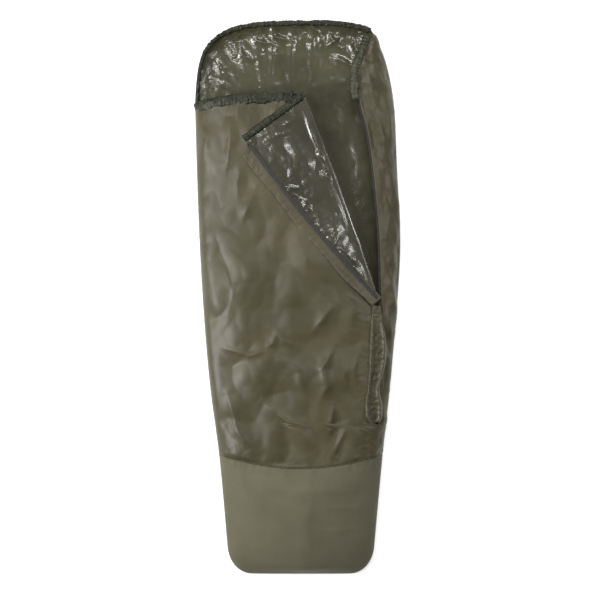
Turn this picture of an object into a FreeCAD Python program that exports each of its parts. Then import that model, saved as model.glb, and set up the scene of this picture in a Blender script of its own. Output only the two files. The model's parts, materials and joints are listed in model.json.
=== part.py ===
# Bivy sack: a waterproof cover for a sleeping bag, lying on its back with one corner of the top turned back.
# Millimetres. The origin is on the ground under the middle of the sack, +Y runs to the head and +Z is up.
import FreeCAD, Part
import math
import os

Vec = FreeCAD.Vector

# ---- driving dimensions ----
LENGTH = 2250.0             # foot edge to the top of the hood
FOOT_Y = -LENGTH / 2
CLOTH = 2.0                 # wall of the cloth solids
SEAM_Z = 8.0                # height of the side seams above the ground
ARCH_POWER = 2.5            # how square the arched top is across the sack
FOOT_DOME_Y = -560.0        # from here down the top closes towards the foot edge
FOOT_SEAM_Y = -640.0        # where the foot section starts, at the sides
FOOT_SEAM_SAG = 48.0        # how much lower that seam runs in the middle
HOOD_START_Y = 775.0        # where the hood wall starts on the open side
RIM_HEIGHT = 42.0           # height of the hood's turned-up rim
RIM_REACH = 62.0            # how far in from the rim the hood starts to rise

# plan lines, as (y, x) stations
LEFT_EDGE = [(-1000, -286), (-650, -318), (-350, -357), (0, -386), (350, -404), (800, -418)]
RIGHT_EDGE = [(-1000, 314), (-650, 346), (-350, 378), (0, 408), (230, 419), (500, 407), (800, 391),
              (950, 362), (1040, 328), (1090, 299)]
ZIP_LINE = [(-40, 331), (140, 327), (260, 322), (470, 303), (663, 276), (790, 243), (860, 236),
            (922, 238), (1003, 270), (1085, 296)]
CROWN = [(-560, 104), (-350, 103), (-14, 113), (200, 109), (400, 108), (600, 112), (800, 118),
         (900, 108), (1000, 86), (1060, 64), (1100, 46)]
HOOD_OUTLINE = [(-417, 790), (-413, 860), (-403, 940), (-382, 1005), (-345, 1052), (-280, 1092),
                (-166, 1117), (0, 1124), (130, 1124), (225, 1114), (286, 1098)]
FOOT_OUTLINE = [(-318, -655), (-300, -850), (-286, -990), (-262, -1062), (-205, -1110), (-130, -1123),
                (0, -1124), (170, -1123), (240, -1110), (292, -1062), (314, -990), (330, -850), (345, -655)]
FRONT_HEM = [(-398, 776), (-330, 792), (-245, 800), (-144, 807), (-60, 807), (14, 806)]

# the turned-back corner: fold from FOLD_FOOT to FOLD_HEAD, loose corner at FLAP_CORNER
FOLD_FOOT = (326.0, -14.0)
FOLD_HEAD = (30.0, 805.0)
FLAP_CORNER = (-211.0, 630.0)
FLAP_BOW = 14.0             # how much its zip edge bows out
FLAP_LIFT = 4.0             # underside of the turned-back cloth above the top panel
FOLD_LIFT = 2.0             # fold axis above the top panel

# zip
CHAIN_TOP = (331.0, -40.0)
CHAIN_END = (314.0, -500.0)
CHAIN_DEPTH = 6.0           # closed chain below the cloth's outer face
CHAIN_TILT = 21.5           # degrees the zip leans outwards on the shoulder of the sack
COIL_WIDTH = 2.4
COIL_HEIGHT = 2.4
COIL_OFFSET = 2.9           # coil centre from the middle of the closed chain
TAPE_WIDTH = 14.0
TAPE = 0.8
PANEL_GAP = 19.0            # cloth edges stop this far from the closed chain

# hems and cord
HEM_WIDTH = 27.0
HEM_HEIGHT = 10.0
CHANNEL_RADIUS = 3.0
CORD_RADIUS = 2.0
SEAM_RADIUS = 2.4


def along(stations, value):
    """Smooth curve through (position, size) stations: cubic pieces with Catmull-Rom slopes."""
    keys = [k for k, _ in stations]
    sizes = [s for _, s in stations]
    value = min(max(value, keys[0]), keys[-1])
    i = max(j for j in range(len(keys) - 1) if keys[j] <= value)

    def slope(j):
        a, b = max(j - 1, 0), min(j + 1, len(keys) - 1)
        return (sizes[b] - sizes[a]) / (keys[b] - keys[a])

    span = keys[i + 1] - keys[i]
    t = (value - keys[i]) / span
    start, end = slope(i) * span, slope(i + 1) * span
    return (sizes[i] * (2 * t**3 - 3 * t**2 + 1) + start * (t**3 - 2 * t**2 + t)
            + sizes[i + 1] * (3 * t**2 - 2 * t**3) + end * (t**3 - t**2))


def outline_x(y):
    """Left and right edge of the sack at y; the foot corners are rounded."""
    y = max(y, FOOT_Y)
    left, right = along(LEFT_EDGE, y), along(RIGHT_EDGE, y)
    into_corner = max(0.0, (-990.0 - y) / (-990.0 - FOOT_Y))
    round_off = 110.0 * (1 - (1 - into_corner**2.2) ** (1 / 2.2))
    return left + round_off, right - round_off


def crown(y):
    """Height of the middle of the top cloth."""
    if y >= FOOT_DOME_Y:
        return along(CROWN, y)
    reach = min(1.0, (FOOT_DOME_Y - y) / (FOOT_DOME_Y - FOOT_Y))
    return SEAM_Z + (CROWN[0][1] - SEAM_Z) * (1 - reach**ARCH_POWER) ** (1 / ARCH_POWER)


def height(x, y):
    """Height of the top cloth's outer face over a plan point."""
    left, right = outline_x(y)
    side = min(1.0, abs((x - (left + right) / 2) / ((right - left) / 2)))
    return SEAM_Z + (crown(y) - SEAM_Z) * (1 - side**ARCH_POWER) ** (1 / ARCH_POWER)


def on_top(x, y, lift=0.0):
    return Vec(x, y, height(x, y) + lift)


def arch(u, y, inset=0.0):
    """Superellipse arch across the sack: u from 0 at the left seam to 1 at the right seam."""
    left, right = outline_x(y)
    angle = math.pi * u
    side = -math.copysign(abs(math.cos(angle)) ** (2 / ARCH_POWER), math.cos(angle))
    rise = max(0.0, math.sin(angle)) ** (2 / ARCH_POWER)
    x = (left + right) / 2 + side * ((right - left) / 2 - inset)
    return Vec(x, y, SEAM_Z + (crown(y) - SEAM_Z - inset) * rise)


def curve(points):
    spline = Part.BSplineCurve()
    spline.interpolate(points)
    return spline


def flat(points, z=0.0):
    return [Vec(x, y, z) for x, y in points]


def between(start, end, count):
    return [start + (end - start) * i / (count - 1) for i in range(count)]


def through(grid):
    surface = Part.BSplineSurface()
    surface.interpolate(grid)
    return surface


def skin(outer, inner):
    """Closed solid between two like surfaces, joined by ruled faces round the edge."""
    faces = [outer.toShape(), inner.toShape()]
    (u0, u1, v0, v1), (a0, a1, b0, b1) = outer.bounds(), inner.bounds()
    for one, other in ((outer.uIso(u0), inner.uIso(a0)), (outer.uIso(u1), inner.uIso(a1)),
                       (outer.vIso(v0), inner.vIso(b0)), (outer.vIso(v1), inner.vIso(b1))):
        faces.append(Part.makeRuledSurface(one.toShape(), other.toShape()))
    shell = Part.makeShell(faces)
    shell.sewShape()
    solid = Part.makeSolid(shell.Shells[0])
    if solid.Volume < 0:
        solid.reverse()
    return solid


def sheet(place, rows, columns, thickness):
    """Cloth whose lower face is place(u, v), thickened straight up."""
    lower = [[place(u, v) for v in between(0.0, 1.0, columns)] for u in between(0.0, 1.0, rows)]
    upper = [[p + Vec(0, 0, thickness) for p in row] for row in lower]
    return skin(through(upper), through(lower))


def prism(points, low=-60.0, high=300.0):
    """Upright block over a closed plan outline with straight sides."""
    corners = flat(points, low)
    return Part.Face(Part.makePolygon(corners + corners[:1])).extrude(Vec(0, 0, high - low))


def frames(path):
    """For each point of a path: the point, its tangent and the level direction across it."""
    found = []
    for i, point in enumerate(path):
        tangent = (path[min(i + 1, len(path) - 1)] - path[max(i - 1, 0)]).normalize()
        across = tangent.cross(Vec(0, 0, 1)).normalize()
        found.append((point, tangent, across))
    return found


def rod(path, radius):
    """Round bar swept along a smooth curve through the path's points."""
    spine = curve(path)
    ring = Part.Circle(path[0], spine.tangent(spine.FirstParameter)[0], radius)
    return Part.Wire(spine.toShape()).makePipeShell([Part.Wire(ring.toShape())], True, False)


def bead(path, radius):
    """Eight-sided bar along a smooth curve, for a rolled and sewn seam."""
    spine = curve(path)
    tangent = spine.tangent(spine.FirstParameter)[0]
    across = tangent.cross(Vec(0, 0, 1)).normalize()
    up = across.cross(tangent).normalize()
    turns = [math.pi / 8 + math.pi / 4 * k for k in range(8)]
    ring = [path[0] + across * (radius * math.cos(a)) + up * (radius * math.sin(a)) for a in turns]
    return Part.Wire(spine.toShape()).makePipeShell([Part.makePolygon(ring + ring[:1])], True, False)


def tube(path, width, depth):
    """Loft of ellipses along a path, width wide and depth high."""
    wires = []
    for point, tangent, across in frames(path):
        up = across.cross(tangent).normalize()
        major, minor = (across * (width / 2), up * (depth / 2))
        if depth >= width:
            ring = Part.Circle(point, tangent, width / 2)
        else:
            ring = Part.Ellipse(point + major, point + minor, point)
        wires.append(Part.Wire(ring.toShape()))
    return Part.makeLoft(wires, True, False)


def hem(path):
    """Cord channel: a flat sewn tube with a round way for the drawcord right through it."""
    ends = frames(path)
    longer = [path[0] - ends[0][1] * 3] + path + [path[-1] + ends[-1][1] * 3]
    return tube(path, HEM_WIDTH, HEM_HEIGHT).cut(tube(longer, 2 * CHANNEL_RADIUS, 2 * CHANNEL_RADIUS))


def samples(spline, count):
    return [spline.value(spline.FirstParameter + (spline.LastParameter - spline.FirstParameter) * t)
            for t in between(0.0, 1.0, count)]


# ---- plan lines used by several pieces ----
def foot_seam(u):
    """Seam between the body and the foot section: lowest in the middle."""
    left, right = outline_x(FOOT_SEAM_Y)
    return left + (right - left) * u, FOOT_SEAM_Y - FOOT_SEAM_SAG * math.sin(math.pi * u)


def fold(p):
    return tuple(FOLD_FOOT[k] + p * (FOLD_HEAD[k] - FOLD_FOOT[k]) for k in (0, 1))


def zip_edge(p, off=0.0):
    """Zip edge of the turned-back corner, from the slider (p = 0) to the loose corner (p = 1)."""
    run = [FLAP_CORNER[k] - FOLD_FOOT[k] for k in (0, 1)]
    size = math.hypot(*run)
    out = (-run[1] / size, run[0] / size)
    out = (-abs(out[0]), -abs(out[1]))
    bow = FLAP_BOW * math.sin(math.pi * p) + off
    return tuple(FOLD_FOOT[k] + p * run[k] + bow * out[k] for k in (0, 1))


def flap_place(p, q, lift):
    a, b = fold(p), zip_edge(p)
    return on_top(a[0] + q * (b[0] - a[0]), a[1] + q * (b[1] - a[1]), lift)


chain_top = on_top(*CHAIN_TOP, -CHAIN_DEPTH)
chain_end = on_top(*CHAIN_END, -CHAIN_DEPTH)
chain_run = (chain_top - chain_end).normalize()
chain_length = (chain_top - chain_end).Length
lean = math.radians(CHAIN_TILT)
chain_up = Vec(math.sin(lean), 0, math.cos(lean))
chain_up = (chain_up - chain_run * chain_up.dot(chain_run)).normalize()
chain_across = chain_run.cross(chain_up).normalize()


def turned(shape, x, z, origin):
    """Places a shape so that its x and z directions become x and z, with its zero at origin."""
    y = z.cross(x)
    placed = shape.copy()
    placed.Placement = FreeCAD.Placement(FreeCAD.Matrix(
        x.x, y.x, z.x, origin.x, x.y, y.y, z.y, origin.y, x.z, y.z, z.z, origin.z, 0, 0, 0, 1))
    return placed


def at_chain(shape, distance=0.0):
    """Places a shape built with x across, y towards the head and z out of the cloth, on the closed chain."""
    return turned(shape, chain_across, chain_up, chain_top - chain_run * distance)


def block(x0, x1, y0, y1, z0, z1):
    return Part.makeBox(x1 - x0, y1 - y0, z1 - z0, Vec(x0, y0, z0))


# ---- body cloth ----
def arched_cloth(stations):
    rows = between(0.0, 1.0, 17)
    outer = [[arch(u, y) for y in stations] for u in rows]
    inner = [[arch(u, y, CLOTH) for y in stations] for u in rows]
    return skin(through(outer), through(inner))


def zip_clearance():
    return at_chain(block(-PANEL_GAP, PANEL_GAP, -chain_length - 8, 60, -25, 40))


def make_top_panel():
    cloth = arched_cloth(between(-720.0, 860.0, 15))
    seam = [foot_seam(u) for u in between(0.0, 1.0, 9)]
    lower_left, lower_right = (-600, seam[0][1]), (600, seam[-1][1])
    below = [lower_left] + seam + [lower_right, (600, -900), (-600, -900)]
    front = [(x, y - 3) for x, y in FRONT_HEM]
    above = [(-600, front[0][1])] + front + [(30, 802), (30, 1000), (-600, 1000)]
    fold_top = fold(1.03)
    fold_cut = [(fold(0)[0] - 3, fold(0)[1]), (fold_top[0] - 3, fold_top[1]), (fold_top[0] - 3, 1000),
                (600, 1000), (600, fold(0)[1])]
    strip = [(CHAIN_TOP[0], 20), (CHAIN_END[0], CHAIN_END[1] - 10), (600, CHAIN_END[1] - 10), (600, 20)]
    for cutter in (below, above, fold_cut, strip):
        cloth = cloth.cut(prism([(x, y - 4) if cutter is above else (x, y) for x, y in cutter]))
    return cloth.cut(zip_clearance())


def make_side_panel():
    cloth = arched_cloth(between(-470.0, 1084.0, 17))
    line = [(along(ZIP_LINE, y), y) for y in between(-40.0, 1084.0, 14)]
    edge = [(x + 5, y) for x, y in line]
    away = [(CHAIN_END[0], -600)] + edge + [(296, 1200), (-600, 1200), (-600, -600)]
    cloth = cloth.cut(prism(away)).cut(zip_clearance())
    return cloth.cut(prism([(200, 1070), (600, 1070), (600, 1200), (200, 1200)]))


def make_foot_top():
    start = FOOT_SEAM_Y + 30
    stations = [start - (start - FOOT_Y - 2) * (1 - (1 - t) ** 1.9) for t in between(0.0, 1.0, 13)]
    grid = [[arch(u, y) for y in stations] for u in between(0.0, 1.0, 13)]
    for row in grid:
        row[-1] = Vec(row[-1].x, row[-1].y, SEAM_Z)
    outer = through(grid)
    inner = outer.copy()
    # the inside is the outside shrunk towards the middle of the foot section's open end
    for i, row in enumerate(outer.getPoles()):
        for j, pole in enumerate(row):
            inner.setPole(i + 1, j + 1, Vec(14 + (pole.x - 14) * (1 - CLOTH / 300),
                                            start + (pole.y - start) * (1 - CLOTH / 510),
                                            SEAM_Z + (pole.z - SEAM_Z) * (1 - CLOTH / 96)))
    seam = [(x, y - 8) for x, y in (foot_seam(u) for u in between(0.0, 1.0, 9))]
    above = [(-600, seam[0][1])] + seam + [(600, seam[-1][1]), (600, 0), (-600, 0)]
    return skin(outer, inner).cut(prism(above))


def edge_curve(side, low, high, count, inset):
    return [Vec(outline_x(y)[side] - inset * (1, -1)[side == 0], y, 0) for y in between(low, high, count)]


def inward(points, distance):
    """Plan points moved inwards, towards the left of their direction of travel turned clockwise."""
    moved = []
    for point, _, across in frames(points):
        moved.append(point + across * distance)
    return moved


def plate(edges):
    """Level cloth on the ground inside a closed run of plan curves."""
    wire = Part.Wire([e.toShape() if hasattr(e, "toShape") else e for e in edges])
    return Part.Face(wire).extrude(Vec(0, 0, CLOTH))


def line(a, b):
    return Part.LineSegment(a, b)


def make_base_sheet():
    left = edge_curve(0, FOOT_SEAM_Y, HOOD_START_Y, 7, 1)
    right = edge_curve(1, FOOT_SEAM_Y, 1070, 9, 1)
    hood = inward(samples(curve(flat(HOOD_OUTLINE)), 11), RIM_REACH)
    return plate([curve(left), line(left[-1], hood[0]), curve(hood), line(hood[-1], right[-1]),
                  curve(right), line(right[0], left[0])])


def make_foot_base():
    outline = inward(flat(FOOT_OUTLINE), -1)
    return plate([curve(outline), line(outline[-1], outline[0])])


def hood_rim(t):
    """Rim height round the hood: low where it meets the front hem and the side."""
    return 16 + (RIM_HEIGHT - 16) * min(1.0, math.sin(math.pi * min(t * 2.2, 0.5)))


def make_hood_wall():
    outline = samples(curve(flat(HOOD_OUTLINE)), 17)
    inside = [across for _, _, across in frames(outline)]

    def place(u, v):
        i = round(u * (len(outline) - 1))
        reach = 15 + (RIM_REACH - 17) * (1 - v)
        rise = 0.4 + (hood_rim(u) - 11.8) * v**2.2
        return outline[i] + inside[i] * reach + Vec(0, 0, rise)

    return sheet(place, len(outline), 6, CLOTH)


# ---- seams ----
def make_side_seam(side):
    low = FOOT_SEAM_Y + 14
    high = HOOD_START_Y - 4 if side == 0 else 1066
    path = [p + Vec(0, 0, 4.9) for p in edge_curve(side, low, high, 12, SEAM_RADIUS + 0.4)]
    return bead(path, SEAM_RADIUS)


def make_foot_edge_seam():
    outline = samples(curve(flat(FOOT_OUTLINE[1:-1])), 25)
    path = [p + Vec(0, 0, 4.9) for p in inward(outline, -SEAM_RADIUS - 2)]
    return rod(path, SEAM_RADIUS)


def make_foot_seam():
    path = []
    for u in between(0.06, 0.94, 15):
        x, y = foot_seam(u)
        path.append(on_top(x, y - 4, -1.0))
    return rod(path, 1.8)


def make_seam_tape(side):
    """Taped inside of a side seam, lying on the groundsheet beside the seam."""
    def place(u, v):
        y = -560 + 1180 * u
        x = outline_x(y)[side] + (1, -1)[side] * (9 + 20 * v)
        return Vec(x, y, CLOTH + 0.2)

    return sheet(place, 9, 3, 0.6)


# ---- hems and drawcord ----
front_path = [on_top(x, y + 8, -2.0) for x, y in FRONT_HEM]
front_path = samples(curve(front_path), 12)
hood_path = [p + Vec(0, 0, hood_rim(t) - 2.5) for p, t in
             zip(samples(curve(flat(HOOD_OUTLINE)), 25), between(0.0, 1.0, 25))]
hood_path = [p + a * (HEM_WIDTH / 2) for p, (_, _, a) in zip(hood_path, frames(hood_path))]
side_path = [on_top(along(ZIP_LINE, y) - 9, y, -4.0) for y in between(800.0, 1072.0, 7)]
side_path = samples(curve(side_path), 15)
flap_hem_path = [on_top(*[FOLD_HEAD[k] + t * (FLAP_CORNER[k] - FOLD_HEAD[k]) + (-7, 10)[k] for k in (0, 1)],
                        FLAP_LIFT + HEM_HEIGHT / 2 + 0.2) for t in between(0.06, 0.99, 5)]
flap_hem_path = samples(curve(flap_hem_path), 10)


def cord(path):
    return rod(path, CORD_RADIUS)


# ---- turned-back corner ----
def make_flap_panel():
    return sheet(lambda u, v: flap_place(0.10 + 0.85 * u, 0.02 + 0.955 * v, FLAP_LIFT), 11, 8, 1.6)


def flap_strip(start, end, low, high, lift, thickness):
    """Strip along the flap's zip edge, from low to high beyond it, lift above the top panel."""
    return sheet(lambda u, v: on_top(*zip_edge(start + (end - start) * u, low + (high - low) * v), lift),
                 13, 3, thickness)


def make_zip_tape_flap():
    return flap_strip(0.19, 0.955, -TAPE_WIDTH, -0.4, FLAP_LIFT + 1.9, TAPE)


def make_coil_flap():
    return flap_strip(0.19, 0.955, 0.0, COIL_WIDTH, FLAP_LIFT + 1.6, COIL_HEIGHT)


def make_storm_flap_upper():
    return flap_strip(0.13, 1.0, -34.0, 44.0, 1.2, 1.6)


def make_top_stop(place):
    body = Part.makeBox(5, 7, 3.4, Vec(-2.5, 0, -1.7))
    body.translate(place)
    return body


# ---- zip, static half and closed stretch ----
def right_zip_drop(y):
    """The open right half hangs a little under the cloth, most near the slider."""
    return 3.4 + 5.0 * math.exp(-((y - FOLD_FOOT[1]) / 120) ** 2)


def right_zip_strip(low, high, lift, thickness):
    def place(u, v):
        y = 24 + 752 * u
        x = along(ZIP_LINE, y) + low + (high - low) * v
        return on_top(x, y, lift - right_zip_drop(y))

    return sheet(place, 13, 3, thickness)


def make_tape_right():
    return right_zip_strip(0.4, 0.4 + TAPE_WIDTH, -TAPE, TAPE)


def make_coil_right():
    return right_zip_strip(-COIL_WIDTH, 0.0, -TAPE - 0.8, COIL_HEIGHT)


def closed_tape(side):
    inner, outer = COIL_OFFSET + COIL_WIDTH / 2 + 0.2, COIL_OFFSET + TAPE_WIDTH
    x0, x1 = sorted((side * inner, side * outer))
    return at_chain(block(x0, x1, -chain_length, 8, -TAPE / 2, TAPE / 2))


def closed_coil(side):
    middle = side * COIL_OFFSET
    return at_chain(block(middle - COIL_WIDTH / 2, middle + COIL_WIDTH / 2, -chain_length + 9, 8,
                          -COIL_HEIGHT / 2, COIL_HEIGHT / 2))


def make_bottom_stop():
    body = block(-7, 7, -chain_length + 1, -chain_length + 8.6, -2.6, 2.6)
    for x in (-8, 3.8):
        body = body.cut(block(x, x + 4.2, -chain_length, -chain_length + 9, -0.6, 0.6))
    return at_chain(body)


# ---- slider and pull ----
SLIDER_LENGTH = 16.0
SLIDER_HALF = 6.5
SLIDER_TOP = 3.4
SLIDER_REST = 4.0           # middle of the slider below the top of the closed chain
BAR_DROP = 6.8              # pull bar below the middle of the chain
PULL_LENGTH = 26.0


def make_slider_body():
    half = SLIDER_LENGTH / 2
    body = block(-SLIDER_HALF, SLIDER_HALF, -half, half, -SLIDER_TOP, SLIDER_TOP)
    long_edges = [e for e in body.Edges if abs(e.BoundBox.ZLength - 2 * SLIDER_TOP) < 0.1]
    body = body.makeFillet(3.0, long_edges)
    body = body.cut(block(-4.9, 4.9, -half - 1, half + 1, -1.8, 1.8))
    body = body.cut(block(-9, 9, -half - 1, half + 1, -0.9, 0.9))
    post = Part.makeCylinder(1.1, 2 * SLIDER_TOP - 1, Vec(0, 3, -SLIDER_TOP + 0.5))
    cheeks = [block(x - 0.9, x + 0.9, -2.6, 2.6, -BAR_DROP - 1.6, -SLIDER_TOP + 0.5) for x in (-4.6, 4.6)]
    bar = Part.makeCylinder(1.0, 9.2, Vec(-4.6, 0, -BAR_DROP), Vec(1, 0, 0))
    return at_chain(body.fuse([post, bar] + cheeks), SLIDER_REST)


hang = Vec(0, 0, -1) + chain_across * chain_across.z
hang.normalize()
bar_point = chain_top - chain_run * SLIDER_REST - chain_up * BAR_DROP


def make_pull_tab():
    """Eye round the slider's bar and a flat tab with a cord hole, hanging inside the sack."""
    eye = Part.makeCylinder(2.4, 5.6, Vec(-2.8, 0, 0), Vec(1, 0, 0))
    tab = block(-2.8, 2.8, -0.8, 0.8, -PULL_LENGTH, -1.5)
    wide = block(-4.2, 4.2, -0.8, 0.8, -PULL_LENGTH, -10)
    shape = eye.fuse([tab, wide])
    shape = shape.cut(Part.makeCylinder(1.15, 9, Vec(-4.5, 0, 0), Vec(1, 0, 0)))
    shape = shape.cut(Part.makeCylinder(2.0, 4, Vec(0, -2, -PULL_LENGTH + 4.2), Vec(0, 1, 0)))
    return turned(shape, chain_across, hang * -1, bar_point)


# ---- storm flap over the closed zip ----
STORM_START = -62.0         # ends of the strip along the sack
STORM_STOP = -490.0
STORM_SEWN = (301.0, 274.0)     # straight sewn edge, x at the two ends
STORM_FREE = [(-490, 345), (-363, 351), (-253, 360), (-150, 356), (-62, 341)]
STORM_LIFT = 2.4            # underside above the cloth at both edges
STORM_ARCH = 4.6            # extra height over the zip


def make_storm_flap_lower():
    """Arched strip of cloth, sewn down on the middle side of the zip and free on the other."""
    def place(u, v):
        y = STORM_START + (STORM_STOP - STORM_START) * u
        sewn = STORM_SEWN[0] + (STORM_SEWN[1] - STORM_SEWN[0]) * u
        return on_top(sewn + (along(STORM_FREE, y) - sewn) * v, y,
                      STORM_LIFT + STORM_ARCH * math.sin(math.pi * v))

    return sheet(place, 13, 9, 1.6)


# ---- cord lock on the front hem ----
LOCK_PLACE = (-24.0, 815.0)
LOCK_RADIUS = 6.5
LOCK_BORE = 5.1
LOCK_LENGTH = 16.0
LOCK_CORD_Y = 9.8           # the cord's way through, from the closed end
LOCK_SLIDE = 20.0           # how far the lock slides along its cord
PLUNGER_RADIUS = 4.8
PRESS = 3.6


def lock_base():
    x, y = LOCK_PLACE
    return on_top(x, y - 6, HEM_HEIGHT / 2 - 2 + LOCK_RADIUS + 0.6)


def make_lock_barrel():
    body = Part.makeCylinder(LOCK_RADIUS, LOCK_LENGTH, Vec(0, 0, 0), Vec(0, 1, 0))
    body = body.cut(Part.makeCylinder(LOCK_BORE, LOCK_LENGTH, Vec(0, 1.6, 0), Vec(0, 1, 0)))
    body = body.cut(Part.makeCylinder(2.6, 20, Vec(-10, LOCK_CORD_Y, 0), Vec(1, 0, 0)))
    body.translate(lock_base())
    return body


def make_lock_plunger():
    """Button with a long cross slot: its lower end grips the cord, pressing it in lets the cord run."""
    body = Part.makeCylinder(PLUNGER_RADIUS, 14, Vec(0, 6.4, 0), Vec(0, 1, 0))
    for y in (LOCK_CORD_Y + 0.4, LOCK_CORD_Y + PRESS):
        body = body.cut(Part.makeCylinder(2.6, 12, Vec(-6, y, 0), Vec(1, 0, 0)))
    body = body.cut(block(-6, 6, LOCK_CORD_Y + 0.4, LOCK_CORD_Y + PRESS, -2.6, 2.6))
    body.translate(lock_base())
    return body


def make_lock_spring():
    ring = Part.makeCylinder(3.6, 4.4, Vec(0, 1.8, 0), Vec(0, 1, 0))
    ring = ring.cut(Part.makeCylinder(2.6, 5, Vec(0, 1.7, 0), Vec(0, 1, 0)))
    ring.translate(lock_base())
    return ring


def make_lock_cord():
    """Free end of the drawcord through the lock, with a stopper knot."""
    middle = lock_base() + Vec(0, LOCK_CORD_Y, 0)
    knot_x = -LOCK_RADIUS - LOCK_SLIDE - 6
    end = Part.makeCylinder(CORD_RADIUS, 9 - knot_x, middle + Vec(knot_x, 0, 0), Vec(1, 0, 0))
    knot = Part.makeCylinder(4.2, 8, middle + Vec(knot_x - 4, 0, 0), Vec(1, 0, 0))
    return end.fuse(knot.makeChamfer(1.6, [e for e in knot.Edges if len(e.Vertexes) == 1]))


pieces = {
    "base_sheet": make_base_sheet,
    "foot_base": make_foot_base,
    "foot_top": make_foot_top,
    "top_panel": make_top_panel,
    "side_panel": make_side_panel,
    "hood_wall": make_hood_wall,
    "side_seam_left": lambda: make_side_seam(0),
    "side_seam_right": lambda: make_side_seam(1),
    "foot_edge_seam": make_foot_edge_seam,
    "foot_seam": make_foot_seam,
    "seam_tape_left": lambda: make_seam_tape(0),
    "seam_tape_right": lambda: make_seam_tape(1),
    "front_hem": lambda: hem(front_path),
    "hood_hem": lambda: hem(hood_path),
    "side_hem": lambda: hem(side_path),
    "drawcord_front": lambda: cord(samples(curve(front_path), 8)),
    "drawcord_hood": lambda: cord(hood_path),
    "drawcord_side": lambda: cord(side_path),
    "flap_panel": make_flap_panel,
    "flap_hem": lambda: hem(flap_hem_path),
    "drawcord_flap": lambda: cord(samples(curve(flap_hem_path), 6)),
    "zip_tape_flap": make_zip_tape_flap,
    "zip_coil_flap": make_coil_flap,
    "storm_flap_upper": make_storm_flap_upper,
    "zip_tape_right": make_tape_right,
    "zip_coil_right": make_coil_right,
    "zip_tape_closed_left": lambda: closed_tape(-1),
    "zip_tape_closed_right": lambda: closed_tape(1),
    "zip_coil_closed_left": lambda: closed_coil(-1),
    "zip_coil_closed_right": lambda: closed_coil(1),
    "zip_bottom_stop": make_bottom_stop,
    "zip_top_stop_flap": lambda: make_top_stop(on_top(*zip_edge(0.972, 1.2), FLAP_LIFT + 2.8)),
    "zip_top_stop_right": lambda: make_top_stop(on_top(along(ZIP_LINE, 778) - 1, 778, -4.6)),
    "slider_body": make_slider_body,
    "pull_tab": make_pull_tab,
    "storm_flap_lower": make_storm_flap_lower,
    "lock_barrel": make_lock_barrel,
    "lock_plunger": make_lock_plunger,
    "lock_spring": make_lock_spring,
    "lock_cord_end": make_lock_cord,
}

os.makedirs("parts", exist_ok=True)
for name, make in pieces.items():
    shape = make()
    shape.exportStep(f"parts/{name}.step")
    print(f"{name}: {len(shape.Solids)} solid, valid {shape.isValid()}, {shape.Volume / 1000:.1f} cm3")

storm_line = [on_top(x, y, STORM_LIFT) for x, y in zip(STORM_SEWN, (STORM_START, STORM_STOP))]
print("fold axis from", on_top(*fold(0), FOLD_LIFT), "to", on_top(*fold(1), FOLD_LIFT))
print("storm flap axis from", storm_line[0], "to", storm_line[1])
print("slider runs along", chain_run * -1, "from", chain_top - chain_run * SLIDER_REST)
print("pull axis", chain_across, "through", bar_point, "lock", lock_base())
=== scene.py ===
import json
import math
import bmesh
import bpy
import numpy as np
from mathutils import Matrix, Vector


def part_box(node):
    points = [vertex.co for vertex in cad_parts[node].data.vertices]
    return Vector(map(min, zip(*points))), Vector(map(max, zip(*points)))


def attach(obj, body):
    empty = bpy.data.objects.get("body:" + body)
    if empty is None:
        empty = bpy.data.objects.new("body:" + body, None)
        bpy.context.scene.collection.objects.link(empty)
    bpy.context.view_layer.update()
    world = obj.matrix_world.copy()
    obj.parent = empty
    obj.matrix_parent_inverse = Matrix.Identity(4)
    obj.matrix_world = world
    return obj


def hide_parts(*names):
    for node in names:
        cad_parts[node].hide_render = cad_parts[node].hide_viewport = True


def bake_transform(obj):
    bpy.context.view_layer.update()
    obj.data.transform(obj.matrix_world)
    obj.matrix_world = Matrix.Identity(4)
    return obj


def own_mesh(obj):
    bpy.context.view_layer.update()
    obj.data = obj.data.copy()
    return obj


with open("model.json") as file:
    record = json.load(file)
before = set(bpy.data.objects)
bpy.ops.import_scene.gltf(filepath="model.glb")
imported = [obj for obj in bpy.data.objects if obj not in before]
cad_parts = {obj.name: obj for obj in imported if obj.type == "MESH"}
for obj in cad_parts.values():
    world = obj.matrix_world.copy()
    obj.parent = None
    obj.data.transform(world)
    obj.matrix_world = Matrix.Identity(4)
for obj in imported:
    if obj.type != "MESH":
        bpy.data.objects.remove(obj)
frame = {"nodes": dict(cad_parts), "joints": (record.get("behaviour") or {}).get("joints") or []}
for name in ("Cube", "Light", "Camera"):
    if name in bpy.data.objects:
        bpy.data.objects.remove(bpy.data.objects[name])
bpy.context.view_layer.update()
joints = {j["name"]: j for j in frame["joints"]}
print("frame loaded:", len(frame["nodes"]), "nodes")

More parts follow.
